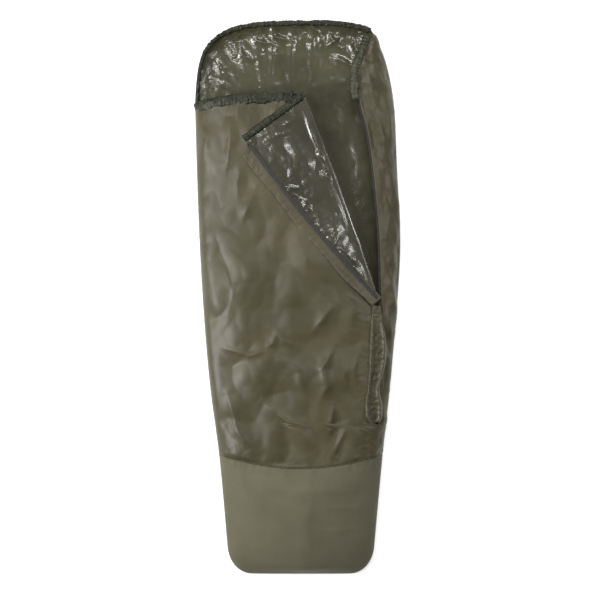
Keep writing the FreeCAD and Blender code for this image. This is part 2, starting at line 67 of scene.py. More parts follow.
# the sack's lines, in metres: origin on the ground under its middle, +Y to the head
sack = {
    "footY": -1.125,
    "seamZ": 0.008,
    "archPower": 2.5,
    "domeY": -0.56,
    "leftEdge": [(-1.0, -.286), (-.65, -.318), (-.35, -.357), (0, -.386), (.35, -.404), (.8, -.418)],
    "rightEdge": [(-1.0, .314), (-.65, .346), (-.35, .378), (0, .408), (.23, .419), (.5, .407), (.8, .391),
                  (.95, .362), (1.04, .328), (1.09, .299)],
    "zipLine": [(-.04, .331), (.14, .327), (.26, .322), (.47, .303), (.663, .276), (.79, .243), (.86, .236),
                (.922, .238), (1.003, .27), (1.085, .296)],
    "crown": [(-.56, .104), (-.35, .103), (-.014, .113), (.2, .109), (.4, .108), (.6, .112), (.8, .118),
              (.9, .108), (1.0, .086), (1.06, .064), (1.1, .046)],
    "frontLine": [(-.398, .776), (-.33, .792), (-.245, .8), (-.144, .807), (-.06, .807), (.014, .806)],
    "hoodOutline": [(-.417, .79), (-.413, .86), (-.403, .94), (-.382, 1.005), (-.345, 1.052), (-.28, 1.092),
                    (-.166, 1.117), (0, 1.124), (.13, 1.124), (.225, 1.114), (.286, 1.098)],
    "rimLow": .016,
    "rimHeight": .042,
    "rimReach": .062,
    "footSeamY": -.64,
    "footSeamSag": .048,
    "foldFoot": (.326, -.014),
    "foldHead": (.03, .805),
    "flapCorner": (-.211, .63),
    "flapBow": .014,
    "chainTop": (.331, -.04),
    "chainEnd": (.314, -.5),
}


def smoothThrough(stations, at):
    # cubic pieces through (place, value) stations, each with the slope of its neighbours' chord
    keys, values = np.array(sorted(stations), float).T
    at = np.clip(np.asarray(at, float), keys[0], keys[-1])
    i = np.clip(np.searchsorted(keys, at, side="right") - 1, 0, len(keys) - 2)
    count = np.arange(len(keys))
    ahead, behind = np.minimum(count + 1, len(keys) - 1), np.maximum(count - 1, 0)
    slopes = (values[ahead] - values[behind]) / (keys[ahead] - keys[behind])
    span = keys[i + 1] - keys[i]
    t = (at - keys[i]) / span
    return (values[i] * (2 * t**3 - 3 * t**2 + 1) + slopes[i] * span * (t**3 - 2 * t**2 + t)
            + values[i + 1] * (3 * t**2 - 2 * t**3) + slopes[i + 1] * span * (t**3 - t**2))


def ease(t):
    # 0 to 1 with level ends: 3t^2 - 2t^3
    t = np.clip(t, 0, 1)
    return t * t * (3 - 2 * t)


def edgesAt(y):
    # left and right outline at y; the last 135 mm round off by a superellipse of 110 mm
    y = np.maximum(y, sack["footY"])
    intoCorner = np.clip((-.99 - y) / (-.99 - sack["footY"]), 0, 1)
    roundOff = .11 * (1 - (1 - intoCorner**2.2) ** (1 / 2.2))
    return smoothThrough(sack["leftEdge"], y) + roundOff, smoothThrough(sack["rightEdge"], y) - roundOff


def crownAt(y):
    # height of the middle: stations above the dome, a superellipse down to the foot edge below it
    n = sack["archPower"]
    reach = np.clip((sack["domeY"] - y) / (sack["domeY"] - sack["footY"]), 0, 1)
    dome = sack["seamZ"] + (.104 - sack["seamZ"]) * (1 - reach**n) ** (1 / n)
    return np.where(y < sack["domeY"], dome, smoothThrough(sack["crown"], y))


def topHeight(x, y):
    # superellipse arch across the sack
    left, right = edgesAt(y)
    side = np.clip(np.abs((x - (left + right) / 2) / ((right - left) / 2)), 0, 1)
    n = sack["archPower"]
    return sack["seamZ"] + (crownAt(y) - sack["seamZ"]) * (1 - side**n) ** (1 / n)


def archPlace(angle, y):
    # the same arch by angle, 0 at the left seam and pi at the right one
    left, right = edgesAt(y)
    c, s = np.cos(angle), np.clip(np.sin(angle), 0, 1)
    x = (left + right) / 2 - np.sign(c) * np.abs(c) ** (2 / sack["archPower"]) * (right - left) / 2
    return np.stack([x, y + 0 * angle, sack["seamZ"]
                     + (crownAt(y) - sack["seamZ"]) * s ** (2 / sack["archPower"])], -1)


def archShare(a):
    # share of the width at which the arch stands at a share of its angle: a signed power of its cosine
    c = np.cos(np.pi * a)
    return (1 - np.sign(c) * np.abs(c) ** (2 / sack["archPower"])) / 2


def archAngle(x, y):
    # the angle at which the arch stands over x
    left, right = edgesAt(y)
    side = np.clip((x - (left + right) / 2) / ((right - left) / 2), -1, 1)
    return np.arccos(-np.sign(side) * np.abs(side) ** (sack["archPower"] / 2))


def softNoise(x, y, seed):
    # gradient noise, about -1 to 1: every whole-numbered place has a slope in a random direction
    x, y = np.broadcast_arrays(np.asarray(x, float), np.asarray(y, float))
    column, row = np.floor(x).astype(np.int64), np.floor(y).astype(np.int64)
    fx, fy = x - column, y - row
    sx, sy = fx**3 * (fx * (fx * 6 - 15) + 10), fy**3 * (fy * (fy * 6 - 15) + 10)

    def pull(di, dj):
        n = ((column + di) * 73856093) ^ ((row + dj) * 19349663) ^ (seed * 83492791)
        n = ((n ^ (n >> 13)) * 1274126177) & 0xffffffff
        turn = ((n ^ (n >> 16)) & 0xffff) / 65536.0 * 2 * np.pi
        return np.cos(turn) * (fx - di) + np.sin(turn) * (fy - dj)

    low = pull(0, 0) * (1 - sx) + pull(1, 0) * sx
    high = pull(0, 1) * (1 - sx) + pull(1, 1) * sx
    return 1.5 * (low * (1 - sy) + high * sy)


def creased(x, y, seed, sharp=12.0):
    # cloth facets: the greatest of three broad noises, softened where they meet in ridges
    layers = np.stack([softNoise(x + 7.3 * k, y - 4.1 * k, seed + k) for k in range(3)])
    return np.log(np.exp(sharp * layers).sum(0)) / sharp


def ridged(x, y, seed):
    # narrow crests on a broad floor: 1 - |noise|, squared
    return (1 - np.abs(softNoise(x, y, seed))) ** 2


def strokeHeight(x, y, strokes):
    # ridges along given runs: height * exp(-(distance / width)^1.25), fading out at both ends
    # a stroke is its width, its height and the places it runs through, in millimetres
    total = np.zeros(x.shape)
    for width, height, *points in strokes:
        points = np.array(points) / 1000
        sizes = np.hypot(*(points[1:] - points[:-1]).T)
        starts = np.concatenate([[0], np.cumsum(sizes)])
        best, place = np.full(x.shape, 1e9), np.zeros(x.shape)
        for (ax, ay), (bx, by), size, start in zip(points[:-1], points[1:], sizes, starts):
            t = np.clip(((x - ax) * (bx - ax) + (y - ay) * (by - ay)) / size**2, 0, 1)
            far = np.hypot(x - ax - t * (bx - ax), y - ay - t * (by - ay))
            place = np.where(far < best, start + t * size, place)
            best = np.minimum(best, far)
        fade = np.sin(np.pi * np.clip(place / starts[-1], .04, .96)) ** .7
        total += height / 1000 * np.exp(-(best * 1000 / width) ** 1.25) * fade
    return total


def normalsOf(points):
    # cross product of the grid's two directions, turned upwards
    n = np.cross(np.gradient(points, axis=1), np.gradient(points, axis=0))
    n /= np.maximum(np.linalg.norm(n, axis=-1, keepdims=True), 1e-12)
    return np.where(n[..., 2:].mean() < 0, -n, n)


def pushed(points, amount):
    # each point moved by the amount along its normal
    return points + normalsOf(points) * amount[..., None]


def gridShares(rows, across):
    # 0 to 1 down the rows as a column, and 0 to 1 across them as a row
    return np.linspace(0, 1, rows)[:, None], np.linspace(0, 1, across)[None, :]


def runLength(path):
    # sum of the distances between neighbouring points
    return np.linalg.norm(np.diff(path, axis=0), axis=1).sum()


def farAlong(points):
    # each point's distance from the first one along the run
    return np.concatenate([[0], np.cumsum(np.linalg.norm(np.diff(points, axis=0), axis=1))])


def runLengths(points):
    # distances along both grid directions, for a pattern that follows the cloth
    across = np.linalg.norm(np.diff(points, axis=1, prepend=points[:, :1]), axis=-1).cumsum(1)
    along = np.linalg.norm(np.diff(points, axis=0, prepend=points[:1]), axis=-1).mean(1).cumsum()
    return np.stack([across, np.broadcast_to(along[:, None], across.shape)], -1)


def gridPiece(name, points, finish, body, replaced=(), thick=0.0, back=None, tube=False):
    # puts a grid of points into a mesh of quads with a uv map in metres; a tube's rows close on themselves
    rows, columns = points.shape[:2]
    uv = runLengths(np.concatenate([points, points[:, :1]], 1) if tube else points)
    index = np.arange(rows * columns).reshape(rows, columns)
    uvIndex = np.arange(uv.shape[0] * uv.shape[1]).reshape(uv.shape[:2])
    if tube:
        index = np.concatenate([index, index[:, :1]], 1)

    def quadsOf(i):
        return np.stack([i[:-1, :-1], i[:-1, 1:], i[1:, 1:], i[1:, :-1]], -1).reshape(-1, 4)

    quads, uvQuads = quadsOf(index), quadsOf(uvIndex)
    if not tube:
        n = np.cross(points[1:, :-1] - points[:-1, :-1], points[:-1, 1:] - points[:-1, :-1])
        if n[..., 2].mean() > 0:
            quads, uvQuads = quads[:, ::-1], uvQuads[:, ::-1]
    mesh = bpy.data.meshes.new(name)
    mesh.vertices.add(rows * columns)
    mesh.vertices.foreach_set("co", points.astype(np.float32).ravel())
    mesh.loops.add(quads.size)
    mesh.loops.foreach_set("vertex_index", np.ascontiguousarray(quads).ravel().astype(np.int32))
    mesh.polygons.add(len(quads))
    mesh.polygons.foreach_set("loop_start", np.arange(0, quads.size, 4, dtype=np.int32))
    mesh.update(calc_edges=True)
    layer = mesh.uv_layers.new(name="UVMap")
    corners = uv.reshape(-1, 2)[np.ascontiguousarray(uvQuads).ravel()]
    layer.data.foreach_set("uv", corners.astype(np.float32).ravel())
    if tube:
        closeUp(mesh)
    return finishPiece(name, mesh, finish, body, replaced, thick, back)


def closeUp(mesh):
    # merges the points that meet at the ends and turns every face outwards
    work = bmesh.new()
    work.from_mesh(mesh)
    bmesh.ops.remove_doubles(work, verts=work.verts, dist=1e-6)
    bmesh.ops.dissolve_degenerate(work, edges=work.edges, dist=1e-7)
    bmesh.ops.recalc_face_normals(work, faces=work.faces)
    work.to_mesh(mesh)
    work.free()


def newObject(name, data):
    # an object at the origin, in the scene
    made = bpy.data.objects.new(name, data)
    bpy.context.scene.collection.objects.link(made)
    return made


def finishPiece(name, mesh, finish, body, replaced=(), thick=0.0, back=None):
    # links a mesh as a smooth piece; a wall of a given thickness grows inwards from it
    mesh.polygons.foreach_set("use_smooth", np.ones(len(mesh.polygons), bool))
    mesh.materials.append(finish)
    piece = newObject(name, mesh)
    if thick:
        wall = piece.modifiers.new("wall", "SOLIDIFY")
        wall.thickness = thick
        wall.offset = -1
        if back:
            mesh.materials.append(back)
            wall.material_offset = 1  # the other face of the cloth
    if replaced:
        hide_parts(*replaced)
    if body:
        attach(piece, body)
    return piece


def pathFrames(path):
    # along a run of points: unit tangent, level direction to its right, and up
    tangent = np.gradient(path, axis=0)
    tangent /= np.linalg.norm(tangent, axis=1, keepdims=True)
    right = np.cross(tangent, [0, 0, 1.0])
    right /= np.linalg.norm(right, axis=1, keepdims=True)
    return tangent, right, np.cross(right, tangent)


def resampled(points, count):
    # the same run, evenly spaced
    points = np.array(points, float)
    far = farAlong(points)
    places = np.linspace(0, far[-1], count)
    return np.stack([np.interp(places, far, points[:, k]) for k in range(points.shape[1])], 1)


def smoothRun(points, count):
    # smooth run through given points, evenly spaced
    points = np.array(points, float)
    far = farAlong(points)
    fine = np.linspace(0, far[-1], count * 4)
    dense = np.stack([smoothThrough(list(zip(far, points[:, k])), fine) for k in range(points.shape[1])], 1)
    return resampled(dense, count)


def tubeGrid(path, width, height, around=20, bulge=None):
    # ellipse carried along the path; bulge(t, angle) adds to the radius; the ends close on the path
    tangent, right, upward = pathFrames(path)
    t = np.linspace(0, 1, len(path))[:, None]
    angle = np.linspace(0, 2 * np.pi, around, endpoint=False)[None, :]
    extra = 0 if bulge is None else bulge(t, angle)
    w, h = [np.broadcast_to(size, (len(path),))[:, None] / 2 + extra for size in (width, height)]
    ring = (path[:, None] + right[:, None] * (w * np.cos(angle))[..., None]
            + upward[:, None] * (h * np.sin(angle))[..., None])
    first, last = np.broadcast_to(path[0], ring[:1].shape), np.broadcast_to(path[-1], ring[:1].shape)
    return np.concatenate([first, ring, last])


# finishes
def add(tree, kind, **settings):
    # a node; a setting named like an input goes to that input, any other to the node itself
    node = tree.nodes.new(kind)
    for key, value in settings.items():
        if key in node.inputs:
            node.inputs[key].default_value = value
        else:
            setattr(node, key, value)
    return node


def colourRamp(tree, source, low, high, dark, light):
    # noise below the low mark gives the dark colour, above the high mark the light one
    ramp = add(tree, "ShaderNodeValToRGB")
    for stop, position, colour in zip(ramp.color_ramp.elements, (low, high), (dark, light)):
        stop.position, stop.color = position, srgb(*colour)
    tree.links.new(source.outputs["Fac"], ramp.inputs["Fac"])
    return ramp.outputs["Color"]


def bumpOf(tree, height, strength, distance, below=None):
    # raises the surface by a height, on top of the bump below it
    bump = add(tree, "ShaderNodeBump", Strength=strength, Distance=distance)
    tree.links.new(height, bump.inputs["Height"])
    if below:
        tree.links.new(below, bump.inputs["Normal"])
    return bump.outputs["Normal"]


def newFinish(name):
    # a material with its tree, its shader and the place that its patterns read
    made = bpy.data.materials.new(name)
    made.use_nodes = True
    tree = made.node_tree
    return made, tree, tree.nodes["Principled BSDF"], add(tree, "ShaderNodeTexCoord")


def srgb(red, green, blue):
    # 0 to 255 screen colour to linear
    c = np.array([red, green, blue]) / 255
    return [*np.where(c <= .04045, c / 12.92, ((c + .055) / 1.055) ** 2.4), 1]


def clothFinish(name, dark, light, roughness, mottle=6.0, weave=1400.0, weaveDepth=.15, crinkle=None,
                coat=0.0, coatRoughness=.1, specular=.5, paintedPleatLight=None):
    # plain weave on the uv map, mottled between two colours on Object coordinates, with fine creases as
    # bump; a hem also gets painted light and shade on its pleats
    made, tree, shader, place = newFinish(name)
    link = tree.links.new
    cloudy = add(tree, "ShaderNodeTexNoise", Scale=mottle, Detail=5.0, Roughness=.6)
    link(place.outputs["Object"], cloudy.inputs["Vector"])
    colour = colourRamp(tree, cloudy, .32, .7, dark, light)
    warp = add(tree, "ShaderNodeTexWave", bands_direction="X", Scale=weave / 20)
    weft = add(tree, "ShaderNodeTexWave", bands_direction="Y", Scale=weave / 20)
    for wave in (warp, weft):
        link(place.outputs["UV"], wave.inputs["Vector"])
    threads = add(tree, "ShaderNodeMath", operation="MULTIPLY")
    link(warp.outputs["Fac"], threads.inputs[0])
    link(weft.outputs["Fac"], threads.inputs[1])
    last = bumpOf(tree, threads.outputs["Value"], weaveDepth, .0003)
    if crinkle:
        size, depth, strength = crinkle
        creases = add(tree, "ShaderNodeTexNoise", Scale=1 / size, Detail=3.0, Roughness=.5, Distortion=.6)
        link(place.outputs["Object"], creases.inputs["Vector"])
        last = bumpOf(tree, creases.outputs["Fac"], strength, depth, last)
    if paintedPleatLight:
        # pleats that run across the hem, as bump and as painted light and shade: the colour goes from the
        # dark colour in the hollows to the light pleat colour on the crests, by the same noise as the bump
        stretch = add(tree, "ShaderNodeMapping")
        stretch.inputs["Scale"].default_value = (14, 95, 1)
        link(place.outputs["UV"], stretch.inputs["Vector"])
        pleats = add(tree, "ShaderNodeTexNoise", Scale=1.0, Detail=4.0, Roughness=.65, Distortion=.5)
        link(stretch.outputs["Vector"], pleats.inputs["Vector"])
        mix = add(tree, "ShaderNodeMix", data_type="RGBA")
        mix.inputs["Factor"].default_value = .6
        link(colour, mix.inputs[6])
        # painted shade in the pleat hollows and painted light on the pleat crests
        link(colourRamp(tree, pleats, .4, .66, dark, paintedPleatLight), mix.inputs[7])
        colour = mix.outputs[2]
        last = bumpOf(tree, pleats.outputs["Fac"], .7, .003, last)
    link(colour, shader.inputs["Base Color"])
    link(last, shader.inputs["Normal"])
    rough = add(tree, "ShaderNodeMapRange")
    rough.inputs["To Min"].default_value = roughness * .85
    rough.inputs["To Max"].default_value = roughness * 1.15
    link(cloudy.outputs["Fac"], rough.inputs["Value"])
    link(rough.outputs["Result"], shader.inputs["Roughness"])
    shader.inputs["Specular IOR Level"].default_value = specular
    shader.inputs["Coat Weight"].default_value = coat
    shader.inputs["Coat Roughness"].default_value = coatRoughness
    return made


def hardFinish(name, colour, worn, roughness, metallic=0.0, grain=900.0):
    # moulded or painted surface: fine grain as bump, paler where the noise is high
    made, tree, shader, place = newFinish(name)
    link = tree.links.new
    speck = add(tree, "ShaderNodeTexNoise", Scale=grain, Detail=4.0, Roughness=.6)
    link(place.outputs["Object"], speck.inputs["Vector"])
    link(colourRamp(tree, speck, .45, .8, colour, worn), shader.inputs["Base Color"])
    link(bumpOf(tree, speck.outputs["Fac"], .2, .0002), shader.inputs["Normal"])
    shader.inputs["Roughness"].default_value = roughness
    shader.inputs["Metallic"].default_value = metallic
    return made


outerCloth = clothFinish("outerCloth", (71, 67, 47), (89, 84, 62), .41, crinkle=(.13, .008, .2), specular=.4)
footCloth = clothFinish("footCloth", (98, 95, 76), (108, 105, 85), .66, crinkle=(.1, .003, .12), weave=900,
                        weaveDepth=.3, specular=.3)
coatedCloth = clothFinish("coatedCloth", (62, 60, 48), (78, 76, 62), .24, crinkle=(.09, .008, .35), coat=.5,
                          coatRoughness=.12, weaveDepth=.05)
groundCloth = clothFinish("groundCloth", (70, 68, 50), (88, 85, 64), .26, crinkle=(.1, .008, .3), coat=.6,
                          coatRoughness=.11, weaveDepth=.05)
# the hems' pleats get painted light on their crests and painted shade in their hollows
hemCloth = clothFinish("hemCloth", (20, 21, 13), (38, 40, 26), .42, paintedPleatLight=(70, 74, 50), weaveDepth=.1,
                       specular=.32)
sideHemCloth = clothFinish("sideHemCloth", (40, 43, 29), (68, 72, 51), .42, paintedPleatLight=(96, 100, 74),
                           weaveDepth=.1, specular=.4)
placketCloth = clothFinish("placketCloth", (74, 69, 51), (92, 87, 66), .42, crinkle=(.04, .004, .3),
                           specular=.42)
zipTapeCloth = clothFinish("zipTapeCloth", (44, 41, 40), (60, 56, 54), .7, weave=2400, weaveDepth=.6)
tapeFinish = clothFinish("tapeFinish", (58, 58, 54), (84, 84, 78), .42, mottle=20, weave=900, weaveDepth=.12)
cordFinish = clothFinish("cordFinish", (24, 25, 20), (44, 45, 36), .7, mottle=300, weave=3000, weaveDepth=.8)
threadFinish = clothFinish("threadFinish", (92, 92, 90), (140, 138, 134), .6, mottle=200, weaveDepth=.3)
coilFinish = hardFinish("coilFinish", (96, 92, 104), (150, 146, 158), .35)
# the coil's finish darkened as painted shade, for the zip halves that lie in shade beside the side cloth and
# under the storm flap
shadedCoilFinish = hardFinish("shadedCoilFinish", (40, 37, 40), (70, 66, 70), .4)
metalFinish = hardFinish("metalFinish", (42, 41, 39), (68, 66, 63), .32, metallic=.8, grain=2600.0)
lockFinish = hardFinish("lockFinish", (24, 24, 22), (38, 38, 35), .42, grain=1800.0)
steelFinish = hardFinish("steelFinish", (150, 150, 150), (190, 190, 190), .25, metallic=1.0)
print("finishes made")


def dress(node, finish):
    # a CAD node keeps its shape and gets a finish
    piece = frame["nodes"][node]
    piece.data.materials.clear()
    piece.data.materials.append(finish)


for node in ("slider_body", "pull_tab", "zip_bottom_stop", "zip_top_stop_flap", "zip_top_stop_right"):
    dress(node, metalFinish)
for node in ("lock_barrel", "lock_plunger"):
    dress(node, lockFinish)

# the fold and the turned-back corner
foldJoint = joints["flap_fold"]
foldStart = np.array(foldJoint["pos_m"])
foldWay = np.array(foldJoint["axis"])
foldSpan = (sack["foldHead"][1] - sack["foldFoot"][1]) / foldWay[1]
foldLeft = np.cross([0, 0, 1.0], foldWay)
foldLeft /= np.linalg.norm(foldLeft)
foldUp = np.cross(foldWay, foldLeft)


def foldPlace(p):
    # a share of the fold as a place on its axis
    return foldStart + np.asarray(p, float)[..., None] * foldSpan * foldWay


def zipEdge(p, off=0.0):
    # zip edge of the corner in plan: straight from the slider to the loose corner, bowed by a sine
    start, corner = np.array(sack["foldFoot"]), np.array(sack["flapCorner"])
    run = corner - start
    out = np.array([-abs(run[1]), -abs(run[0])]) / np.hypot(*run)
    p = np.asarray(p, float)
    bow = sack["flapBow"] * np.sin(np.pi * np.clip(p, 0, 1)) + off
    return start + p[..., None] * run + np.asarray(bow)[..., None] * out


fold = {"radius": .0045, "bulge": .01, "settle": .06, "lift": .0046}


def foldHeight(x, y, side):
    # near the fold the cloth keeps level with the straight axis, then settles to the sack's own height
    p = ((np.stack([x, y], -1) - foldStart[:2]) @ foldWay[:2]) / (foldWay[:2] @ foldWay[:2]) / foldSpan
    far = (np.stack([x, y], -1) - foldStart[:2]) @ foldLeft[:2]
    axisZ = foldStart[2] + p * foldSpan * foldWay[2]
    return axisZ + side * fold["radius"], ease(far / fold["settle"])


flap = {
    "rows": 150, "across": 76, "rollAcross": 12,
    "crinkle": .0065, "zipPucker": .006, "hemPucker": .006, "wall": .0006,
    "strokes": [
        (7, 8, (40, 770), (85, 640), (125, 560)),
        (7, 6, (20, 765), (62, 640), (95, 565)),
        (18, 10, (70, 590), (105, 565), (135, 545)),
        (9, 9, (85, 520), (110, 490), (150, 470)),
        (7, 6, (100, 535), (140, 505), (160, 500)),
        (20, 6, (150, 440), (180, 350), (195, 270)),
        (12, 6, (-80, 690), (-40, 700), (0, 720)),
        (10, 5, (-110, 640), (-60, 660), (-20, 670)),
        (8, 6, (-50, 450), (-10, 440), (20, 445)),
        (9, 7, (-20, 420), (30, 385), (60, 345)),
        (10, 7, (110, 240), (150, 215), (160, 240)),
        (9, 7, (150, 205), (190, 170), (230, 120)),
        (20, 4, (0, 600), (40, 560), (50, 500)),
    ],
}


def flapPoints():
    # from the underside of the fold, round it by a half ellipse, then left over the sack to the zip edge
    p = np.linspace(.012, 1.0, flap["rows"])[:, None]
    turn = np.linspace(-np.pi / 2, np.pi / 2, flap["rollAcross"], endpoint=False)[None, :]
    uneven = 1 + .25 * softNoise(p * 9, 0 * p, 5)
    shape = fold["bulge"] * np.sin(np.pi * np.clip(p, 0, 1)) ** .5 * uneven + .002
    taper = ease(p / .06)
    roll = (foldPlace(p * np.ones_like(turn)) - foldLeft * ((shape * taper * np.cos(turn))[..., None])
            + foldUp * ((fold["radius"] * np.sin(turn))[..., None]))
    q = np.linspace(0, 1, flap["across"] - flap["rollAcross"])[None, :] ** .9
    start, end = foldPlace(p)[..., :2], zipEdge(p)
    plan = start + q[..., None] * (end - start)
    x, y = plan[..., 0], plan[..., 1]
    level, share = foldHeight(x, y, 1)
    z = level * (1 - share) + (topHeight(x, y) + fold["lift"]) * share
    points = np.stack([x, y, z], -1)
    zipFar, hemFar = (1 - q) * np.linalg.norm(end - start, axis=-1), (1 - p) * foldSpan
    inside = ease(share * 1.4) * ease((zipFar - .008) / .02)
    height = 1.5 * flap["crinkle"] * (creased(x / .11 + y, y / .15 - x, 21, 30) - .35) * inside
    height += .2 * flap["crinkle"] * (creased(x / .034 + 3, y / .06, 31, 24) - .3) * inside
    height += strokeHeight(x, y, flap["strokes"]) * ease(share * 3) * ease((zipFar - .008) / .016)
    pucker = ridged(p * foldSpan / .02, q * 1.2, 41) - .5
    nearZip = np.exp(-zipFar / .035) * ease((zipFar - .01) / .012)
    height += flap["zipPucker"] * pucker * nearZip * ease(share * 2)
    height += flap["hemPucker"] * (ridged(q * 15, p * 3, 43) - .5) * np.exp(-hemFar / .035) * ease(share * 2)
    return np.concatenate([roll, pushed(points, np.maximum(height, -.002))], 1)


flapPiece = gridPiece("flap_cloth", flapPoints(), coatedCloth, None, ["flap_panel"],
                      flap["wall"],
                      outerCloth)
low = foldPlace(.5) - foldUp * fold["radius"]
high = foldPlace(.5) + foldUp * fold["radius"] * .9 + foldLeft * .004
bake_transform(flapPiece)
print("turned-back corner made")

# top cloth
top = {
    "rows": 300, "across": 150, "wall": .0006, "facet": .017, "upperFacet": .0095, "smallFacet": .0036,
    "strokeGain": 1.6, "fan": .0058, "seamPucker": .0048, "hemPucker": .006, "zipPucker": .003,
    "strokes": [
        (20, 7, (147, -21), (100, -90), (52, -150)),
        (20, 9, (151, -188), (98, -287), (121, -356), (90, -417)),
        (24, 7, (-108, -234), (-40, -260), (14, -295), (29, -400), (35, -493)),
        (24, 10, (-169, -402), (-100, -450), (-24, -508), (67, -623)),
        (13, 7, (143, -432), (135, -500), (128, -562)),
        (14, 8, (204, -508), (175, -570), (143, -638)),
        (22, 8, (-283, -386), (-262, -460), (-238, -539), (-184, -615)),
        (14, 4.5, (-306, -203), (-250, -215), (-199, -234), (-120, -215)),
        (12, 5, (-85, -135), (-100, -185), (-130, -200)),
        (12, 5, (-85, -135), (-50, -180), (-10, -200)),
        (22, 5, (-234, 525), (-242, 460), (-239, 390)),
        (22, 5.5, (-171, 445), (-190, 390), (-222, 310)),
        (26, 8, (-277, 740), (-270, 640), (-289, 500)),
        (20, 5, (-384, 690), (-362, 650), (-372, 590)),
        (22, 5, (-180, 760), (-205, 640), (-190, 560)),
        (9, 6, (-91, 785), (-93, 740), (-97, 700)),
        (30, 5, (-10, 300), (40, 160), (35, 60)),
        (30, 5, (-300, 150), (-260, 20), (-290, -100)),
        (22, 5, (190, 30), (225, -40), (215, -130)),
        (18, 5.5, (250, -200), (225, -290), (240, -370)),
        (12, 4, (180, -250), (190, -330), (225, -390)),
    ],
}


def footSeamPlan(share):
    # foot seam in plan: straight across, sagging by a half sine
    left, right = edgesAt(np.array(sack["footSeamY"]))
    return left + (right - left) * share, sack["footSeamY"] - sack["footSeamSag"] * np.sin(np.pi * share)


def chainX(y):
    # the closed zip in plan: a straight line from its top to its end
    (x0, y0), (x1, y1) = sack["chainTop"], sack["chainEnd"]
    return x0 + (y - y0) / (y1 - y0) * (x1 - x0)


def topRight(y):
    # right border of the top cloth as an arch angle: fold, then the closed zip, then out to the right seam
    foldX = foldStart[0] + (y - foldStart[1]) / foldWay[1] * foldWay[0]
    x = np.where(y > -.02, foldX, chainX(y) - .012)
    angle = archAngle(x, y)
    out = ease((-.502 - y) / .035)
    return angle * (1 - out) + np.pi * out


def topPoints():
    # the arch from foot seam to hem, pushed out along its normals by facets, strokes and puckers
    v, a = gridShares(top["rows"], top["across"])
    low = footSeamPlan(archShare(a))[1]
    headX = archPlace(a * topRight(np.array(.8)), .8 + 0 * a)[..., 0]
    high = smoothThrough(sack["frontLine"], headX) - .002
    y = low + (high - low) * v
    points = archPlace(a * topRight(y), y)
    x, y = points[..., 0], points[..., 1]
    level, settled = foldHeight(x, y, -1)
    settled = np.where(y > -.02, settled, 1.0)
    beside = ease((y + .05) / .05)
    settled = settled * beside + (1 - beside)
    points[..., 2] = level * (1 - settled) + points[..., 2] * settled
    fromSeam = a * np.pi * .3 + 0 * y
    fromFront, fromFoot = high - y, y - low
    calm = ease(fromSeam / .25) * ease(fromFront / .03 + .1) * ease(fromFoot / .02 + .1)
    calm = calm * np.minimum(1, ease(settled))
    upper = ease((y - .1) / .5)
    height = top["facet"] * (creased(x / .16 + .9 * y, y / .24 - .5 * x, 3, 34) - .35) * (1 - upper)
    height += top["upperFacet"] * (creased(x / .14 + .3 * y, y / .36, 7, 34) - .35) * upper
    height += top["smallFacet"] * (creased(x / .075 + 2 * y, y / .1, 11, 30) - .3)
    height += top["strokeGain"] * strokeHeight(x, y, top["strokes"])
    fan = np.exp(-fromFoot / .1)
    height += top["fan"] * (creased(x / .06 - .6 * y, y / .2, 13, 30) - .3) * fan
    height += top["seamPucker"] * (ridged(x / .026, y / .05, 15) - .5) * np.exp(-fromFoot / .03)
    height += top["hemPucker"] * (ridged(x / .024, y / .08, 17) - .5) * np.exp(-fromFront / .03)
    zipFar = np.abs(x - .3) + np.where(y > 0, 1.0, 0)
    height += top["zipPucker"] * (ridged(x / .05, y / .028, 19) - .5) * np.exp(-zipFar / .05) * (y < -.05)
    return pushed(points, height * calm)


topPiece = gridPiece("top_cloth", topPoints(), outerCloth, "bag", ["top_panel"], top["wall"],
                     coatedCloth)
print("top cloth made")

# side cloth: the strip beyond the zip
side = {
    "rows": 270, "across": 44, "wall": .0006, "low": -.548, "high": 1.09, "facet": .013, "strokeGain": 1.3,
    "zipPucker": .0042, "smallFacet": .0042, "headPucker": .01, "roll": .0012, "tuck": .0028,
    "strokes": [
        (14, 8, (372, 110), (385, 20), (398, -83)),
        (10, 7, (366, -59), (372, -110), (380, -160)),
        (14, 5, (355, 420), (372, 330), (360, 240)),
        (10, 5, (330, 560), (352, 520), (380, 500)),
        (13, 5.5, (330, 700), (350, 650), (352, 590)),
        (12, 5, (300, 960), (322, 900), (355, 860)),
        (10, 4.5, (286, 880), (300, 830), (320, 800)),
        (14, 5, (360, 780), (372, 700), (380, 620)),
    ],
}


